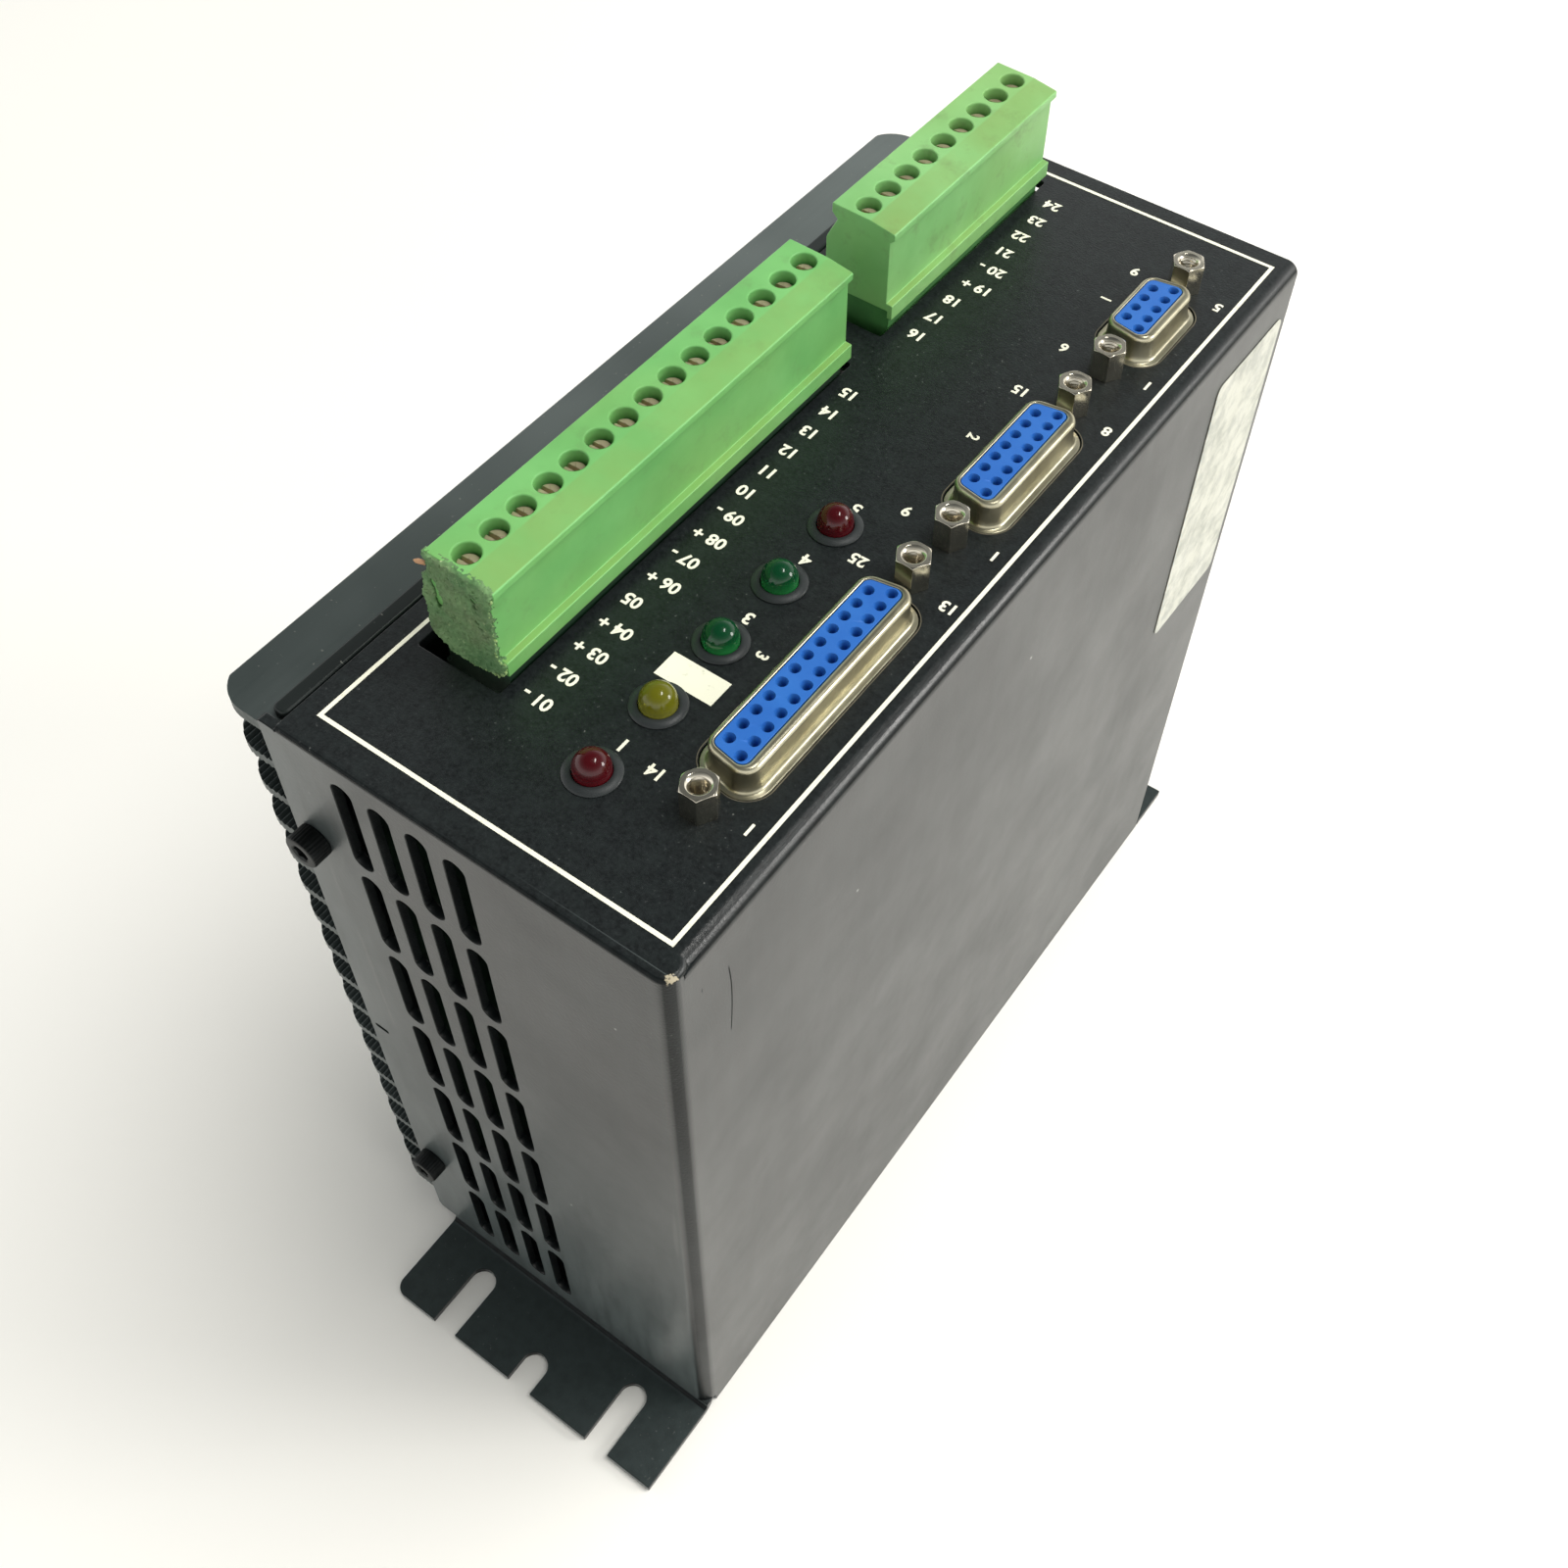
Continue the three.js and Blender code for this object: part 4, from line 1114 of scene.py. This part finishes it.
# ---- D-sub ports ----
def build_dsub(name):
    count, y, length = DSUBS[name]
    shell, insert = f"{name}_shell", f"{name}_insert"
    rim = high(shell).z - DSUB_RIM_DROP
    lean = DSUB_FACE_LEAN
    lower, upper = low(shell).z, TOP - SHEET - GAP

    def ring(inset, z, shift=0):
        size = (length - 2 * inset, DSUB_HEIGHT - 2 * inset, DSUB_CORNER - inset)
        return [(u, v, z) for u, v in d_outline(y, *size, 8, DSUB_X - shift)]

    steps = [
        (-1.44, lower, 0), (-1.44, TOP - 0.3, 0), (-1.38, TOP - 0.16, 0), (-1.2, TOP - 0.1, 0),
        (-0.72, TOP - 0.08, 0), (-0.5, TOP + 0.05, 0), (-0.28, TOP + 0.4, 0), (-0.1, TOP + 1.1, 0),
        (0, TOP + 2.2, 0), (0.02, rim - 1.1, 0), (-0.08, rim - 0.85, 0), (0, rim - 0.5, 0),
        (0.2, rim - 0.2, 0), (0.48, rim - 0.03, 0.05), (0.75, rim, 0.12), (1.0, rim - 0.06, 0.22),
        (1.16, rim - 0.24, lean), (1.16, lower, lean),
    ]
    tube = loft([ring(*step) for step in steps], closed=True)
    left, right = DSUB_X - DSUB_FLANGE_HALF_WIDTH, DSUB_X + DSUB_FLANGE_HALF_WIDTH
    flange_plan = rectangle(left, low(shell).y, right, high(shell).y, 2.4)
    flange_plate = prism(flange_plan, "Z", lower, upper)
    jack_ys = [middle(node).y for node in JACKS if low(shell).y < middle(node).y < high(shell).y]
    mouth = [(u, v) for u, v, _ in ring(0.6, 0, 0.2)]
    outlines = [mouth] + [circle(DSUB_X, jack_y, JACK_HOLE_RADIUS, 24) for jack_y in jack_ys]
    cut(flange_plate, [prism(outline, "Z", lower - 1, upper + 1) for outline in outlines])
    metal = joined([smooth(tube, 60), soften(flange_plate, 0.12)])
    finish_piece(smooth(metal, 60), f"{shell}_detail", PLATED, [shell])

    top = rim - 0.12
    face = prism([(u, v) for u, v, _ in ring(1.2, 0, lean)], "Z", lower - 0.6, top)
    rear_low, rear_high = low(insert), high(insert)
    rear = prism(rectangle(rear_low.x, rear_low.y, rear_high.x, rear_high.y), "Z", rear_low.z, lower - GAP)
    block = united([face, rear])
    holes = []
    profile = [(0.5, top - 4), (0.5, top - 0.5), (0.88, top - 0.02), (0.88, top + 1)]
    for row, pins in ((PIN_ROW_OFFSET, count), (-PIN_ROW_OFFSET, count - 1)):
        for index in range(pins):
            pin_y = y + (index - (pins - 1) / 2) * PIN_PITCH
            holes.append(lathe(profile, DSUB_X - lean + row, pin_y, "Z", 20))
    soften(block, 0.14, 2)
    cut(block, holes)
    finish_piece(smooth(block, 40), f"{insert}_detail", BLUE, [insert])


def build_worn_edges():
    """Paint rubbed thin round the edge of each D-sub window."""
    start, end = DSUB_WINDOW_MARGIN + 0.16, DSUB_WINDOW_MARGIN + 0.3
    section = ((start, TOP - 0.02), (start, TOP + 0.015), (end, TOP + 0.015), (end, TOP - 0.02))
    bands = []
    for _, y, length in DSUBS.values():
        rings = [[(u, v, z) for u, v in window_outline(y, length, margin)] for margin, z in section]
        bands.append(loft(rings, closed=True))
    finish_piece(joined(bands), "worn_window_edges", WORN)


JACK_ACROSS_FLATS = 4.75
JACK_BORE_RADIUS = 1.3
JACK_THREAD_RADIUS = 1.62
JACK_THREAD_PITCH = 0.6
JACK_THREAD_TURNS = 6


def build_jackscrew(node):
    """A hex standoff, domed on top, with a threaded bore."""
    x, y = middle(node).x, middle(node).y
    bottom, top = low(node).z, high(node).z
    body = prism(circle(x, y, JACK_ACROSS_FLATS / math.sqrt(3), 6), "Z", TOP + 0.02, top)
    dome = lathe([(3.2, TOP - 1), (3.2, top - 0.4), (2.45, top - 0.02), (2.4, top)], x, y, "Z", 48)
    combine(body, dome, "INTERSECT")
    bore = [(JACK_BORE_RADIUS, top - 4.2)]
    for turn in range(JACK_THREAD_TURNS):
        z = top - 4 + turn * JACK_THREAD_PITCH
        bore += [(JACK_BORE_RADIUS, z), (JACK_THREAD_RADIUS, z + JACK_THREAD_PITCH / 2)]
    bore += [(JACK_BORE_RADIUS, top - 0.4), (1.8, top + 0.02), (1.8, top + 1)]
    cut(body, [lathe(bore, x, y, "Z", 32)])
    shank = prism(circle(x, y, JACK_BORE_RADIUS, 16), "Z", bottom, TOP + 0.2)
    united([body, shank])
    finish_piece(soften(body, 0.06, 2, 25), f"{node}_detail", NICKEL, [node])


# ---- Indicators ----
def build_led(node, lens):
    """A round-topped lens in a flat bezel."""
    x, y = middle(node).x, middle(node).y
    shoulder, base = TOP + 1.15, TOP - 9
    profile = [(LED_RADIUS, TOP - 0.2)]
    steps = 12
    for step in range(steps):
        turn = math.pi / 2 * step / steps
        profile.append((LED_RADIUS * math.cos(turn), shoulder + LED_RADIUS * math.sin(turn)))
    dome = lathe(profile, x, y, "Z", 40)
    finish_piece(smooth(dome, 60), f"{node}_lens", LENSES[lens], [node])
    ring = [
        (2.65, base), (3.0, base), (3.0, TOP), (3.98, TOP), (4.0, TOP + 0.2),
        (3.8, TOP + 0.42), (3.2, TOP + 0.56), (2.9, TOP + 0.62), (2.72, TOP + 0.55), (2.65, TOP + 0.3),
    ]
    rings = [[(u, v, z) for u, v in circle(x, y, r, 40)] for r, z in ring]
    finish_piece(smooth(loft(rings, closed=True), 40), f"{node}_bezel", BEZEL)


# ---- Print ----
INK_HEIGHT = 0.03
INK_BASE = TOP + 0.005
LEGEND_SIZE = 2.9


def printed(text, x, y, size, turn=math.pi, align="CENTER"):
    """Flat printed numerals. With turn = pi they read towards -X."""
    curve = bpy.data.curves.new("numerals", "FONT")
    curve.body = text
    curve.size = size * MM
    curve.offset = 0.028 * size * MM
    curve.extrude = INK_HEIGHT / 2 * MM
    curve.align_x = align
    curve.align_y = "CENTER"
    curve.resolution_u = 3
    letters = bpy.data.objects.new("numerals", curve)
    show(letters)
    data = evaluated(letters)
    bpy.data.objects.remove(letters)
    place = Matrix.Translation(Vector((x, y, INK_BASE + INK_HEIGHT / 2)) * MM)
    data.transform(place @ Matrix.Rotation(turn, 4, "Z"))
    piece = bpy.data.objects.new("numerals", data)
    show(piece)
    return piece


def build_print():
    left, right, near, far = -22.8, 34.9, -74.05, 81.95
    line = 0.62
    outer = prism(rectangle(left, near, right, far), "Z", INK_BASE, INK_BASE + INK_HEIGHT)
    inner = prism(rectangle(left + line, near + line, right - line, far - line), "Z", TOP - 1, TOP + 1)
    border = cut(outer, [inner])
    finish_piece(border, "printed_border", INK)

    pole_rows = (
        (1, -4.3, -55.4, 5.12, ("-", "-", "+", "+", "", "+", "-", "+", "-", "", "", "", "", "", "")),
        (16, -3.6, 33.6, 5.1, ("", "", "", "+", "-", "", "", "", "")),
    )
    legends = []
    for number, x, first_y, pitch, signs in pole_rows:
        for index, sign in enumerate(signs):
            text = f"{index + number:02d} {sign}".strip()
            legends.append(printed(text, x, first_y + pitch * index, LEGEND_SIZE, align="RIGHT"))
    for text, y in (("1", -54.6), ("3", -28.2), ("4", -15.0), ("5", -2.8)):
        legends.append(printed(text, 11.6, y, LEGEND_SIZE))
    pin_numbers = {
        "dsub_25": ("1", "13", "14", "25"),
        "dsub_15": ("1", "8", "9", "15"),
        "dsub_9": ("1", "5", "6", "9"),
    }
    for name, numbers in pin_numbers.items():
        _, y, length = DSUBS[name]
        reach = length / 2 + 3.2
        spots = ((32.2, y - reach), (32.2, y + reach), (17.6, y - reach), (17.4, y + reach))
        for text, (x, spot_y) in zip(numbers, spots):
            legends.append(printed(text, x, spot_y, 2.7))
    for text, y in (("3", -32.5), ("2", 19.5), ("1", 58.7)):
        legends.append(printed(text, 16.9, y, 2.5, -math.pi / 2))
    finish_piece(joined(legends), "printed_numerals", INK)

    field = prism(rectangle(7.3, -43.15, 16.7, -38.65), "Z", INK_BASE, INK_BASE + INK_HEIGHT)
    finish_piece(field, "printed_field", INK)


def build_label():
    lower, upper = low("side_label"), high("side_label")
    outline = rectangle(lower.y, lower.z, upper.y, upper.z, 1.6, 8)
    film = prism(outline, "X", lower.x + 0.02, upper.x)
    finish_piece(soften(film, 0.05, 1), "side_label_film", LABEL, ["side_label"])


# ---- Kept CAD nodes ----
def paint_kept_nodes():
    looks = {
        **HEADER_GREENS,
        "control_board": BOARD,
        "power_board": BOARD,
        "power_module": EPOXY,
        "rectifier_module": EPOXY,
        "capacitor_near": SLEEVE_FILM,
        "capacitor_far": SLEEVE_FILM,
    }
    for node, material in looks.items():
        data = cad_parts[node].data
        data.materials.clear()
        data.materials.append(material)


# ---- Stage ----
def build_floor():
    mesh = bmesh.new()
    bmesh.ops.create_grid(mesh, x_segments=1, y_segments=1, size=6)
    floor = to_object(mesh, "floor")
    look = Look("floor_paper", Roughness=0.9)
    look.set("Base Color", look.mix((252, 251, 247), (247, 245, 239), look.noise(3, 2)))
    floor.data.materials.append(look.material)
    floor.location.z = -0.0002


def add_lamp(name, direction, distance, width, height, energy, glossy=True, diffuse=True):
    """A soft oval light seen from the module along direction."""
    data = bpy.data.lights.new(name, "AREA")
    data.shape = "ELLIPSE"
    data.size = width
    data.size_y = height
    data.energy = energy
    data.color = (1.0, 0.985, 0.95)
    lamp = bpy.data.objects.new(name, data)
    lamp.location = Vector((0, 0, 0.1)) + Vector(direction).normalized() * distance
    lamp.rotation_euler = Vector(direction).to_track_quat("Z", "Y").to_euler()
    lamp.visible_glossy = glossy
    lamp.visible_diffuse = diffuse
    show(lamp)


def build_lights():
    above = (0.29, 0.21, 0.93)
    add_lamp("overhead", above, 1.5, 1.1, 1.1, 22, glossy=False)
    add_lamp("spark", above, 1.4, 0.5, 0.14, 4, diffuse=False)
    add_lamp("window", (0.754, 0.502, 0.414), 1.3, 0.4, 0.4, 5)


def build_room():
    """Pale walls all round and a dark ceiling."""
    world = bpy.data.worlds.new("studio")
    bpy.context.scene.world = world
    world.use_nodes = True
    nodes, links = world.node_tree.nodes, world.node_tree.links
    direction = nodes.new("ShaderNodeTexCoord").outputs["Generated"]
    split = nodes.new("ShaderNodeSeparateXYZ")
    links.new(direction, split.inputs[0])
    ramp = nodes.new("ShaderNodeValToRGB")
    links.new(split.outputs["Z"], ramp.inputs["Fac"])
    stops = ramp.color_ramp.elements
    stops[0].position = 0.3
    stops[0].color = (1.0, 1.0, 0.98, 1)
    stops[1].position = 0.84
    stops[1].color = (0.08, 0.085, 0.085, 1)
    stops.new(0.56).color = (0.3, 0.31, 0.305, 1)
    background = nodes["Background"]
    links.new(ramp.outputs["Color"], background.inputs["Color"])
    background.inputs["Strength"].default_value = 1.35


def build_camera():
    data = bpy.data.cameras.new("camera")
    data.sensor_width = 36
    data.lens = 40.2
    data.shift_x = -0.0164
    data.shift_y = -0.0304
    data.clip_start = 0.01
    camera = bpy.data.objects.new("camera", data)
    forward = Vector((-0.341, 0.502, -0.795)).normalized()
    right = Vector((0.8135, 0.581, 0.018))
    right = (right - right.dot(forward) * forward).normalized()
    upward = right.cross(forward)
    rotation = Matrix((right, upward, -forward)).transposed()
    camera.matrix_world = Matrix.Translation((0.1056, -0.1512, 0.3368)) @ rotation.to_4x4()
    show(camera)
    bpy.context.scene.camera = camera
    bpy.context.scene.view_settings.view_transform = "Standard"


noise.seed_set(TEAR_SEED)
build_camera()
build_lights()
build_room()
build_floor()
build_cover()
build_far_end()
build_base()
build_heatsink()
for screw_node in [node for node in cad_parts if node.startswith("cap_screw")]:
    build_cap_screw(screw_node)
for plug_node in POLES:
    build_plug(plug_node)
build_sawn_end()
build_clamp_screws()
for port in DSUBS:
    build_dsub(port)
build_worn_edges()
for jack_node in JACKS:
    build_jackscrew(jack_node)
for led_node, led_lens in zip(LEDS, LED_LENSES):
    build_led(led_node, led_lens)
build_print()
build_label()
paint_kept_nodes()
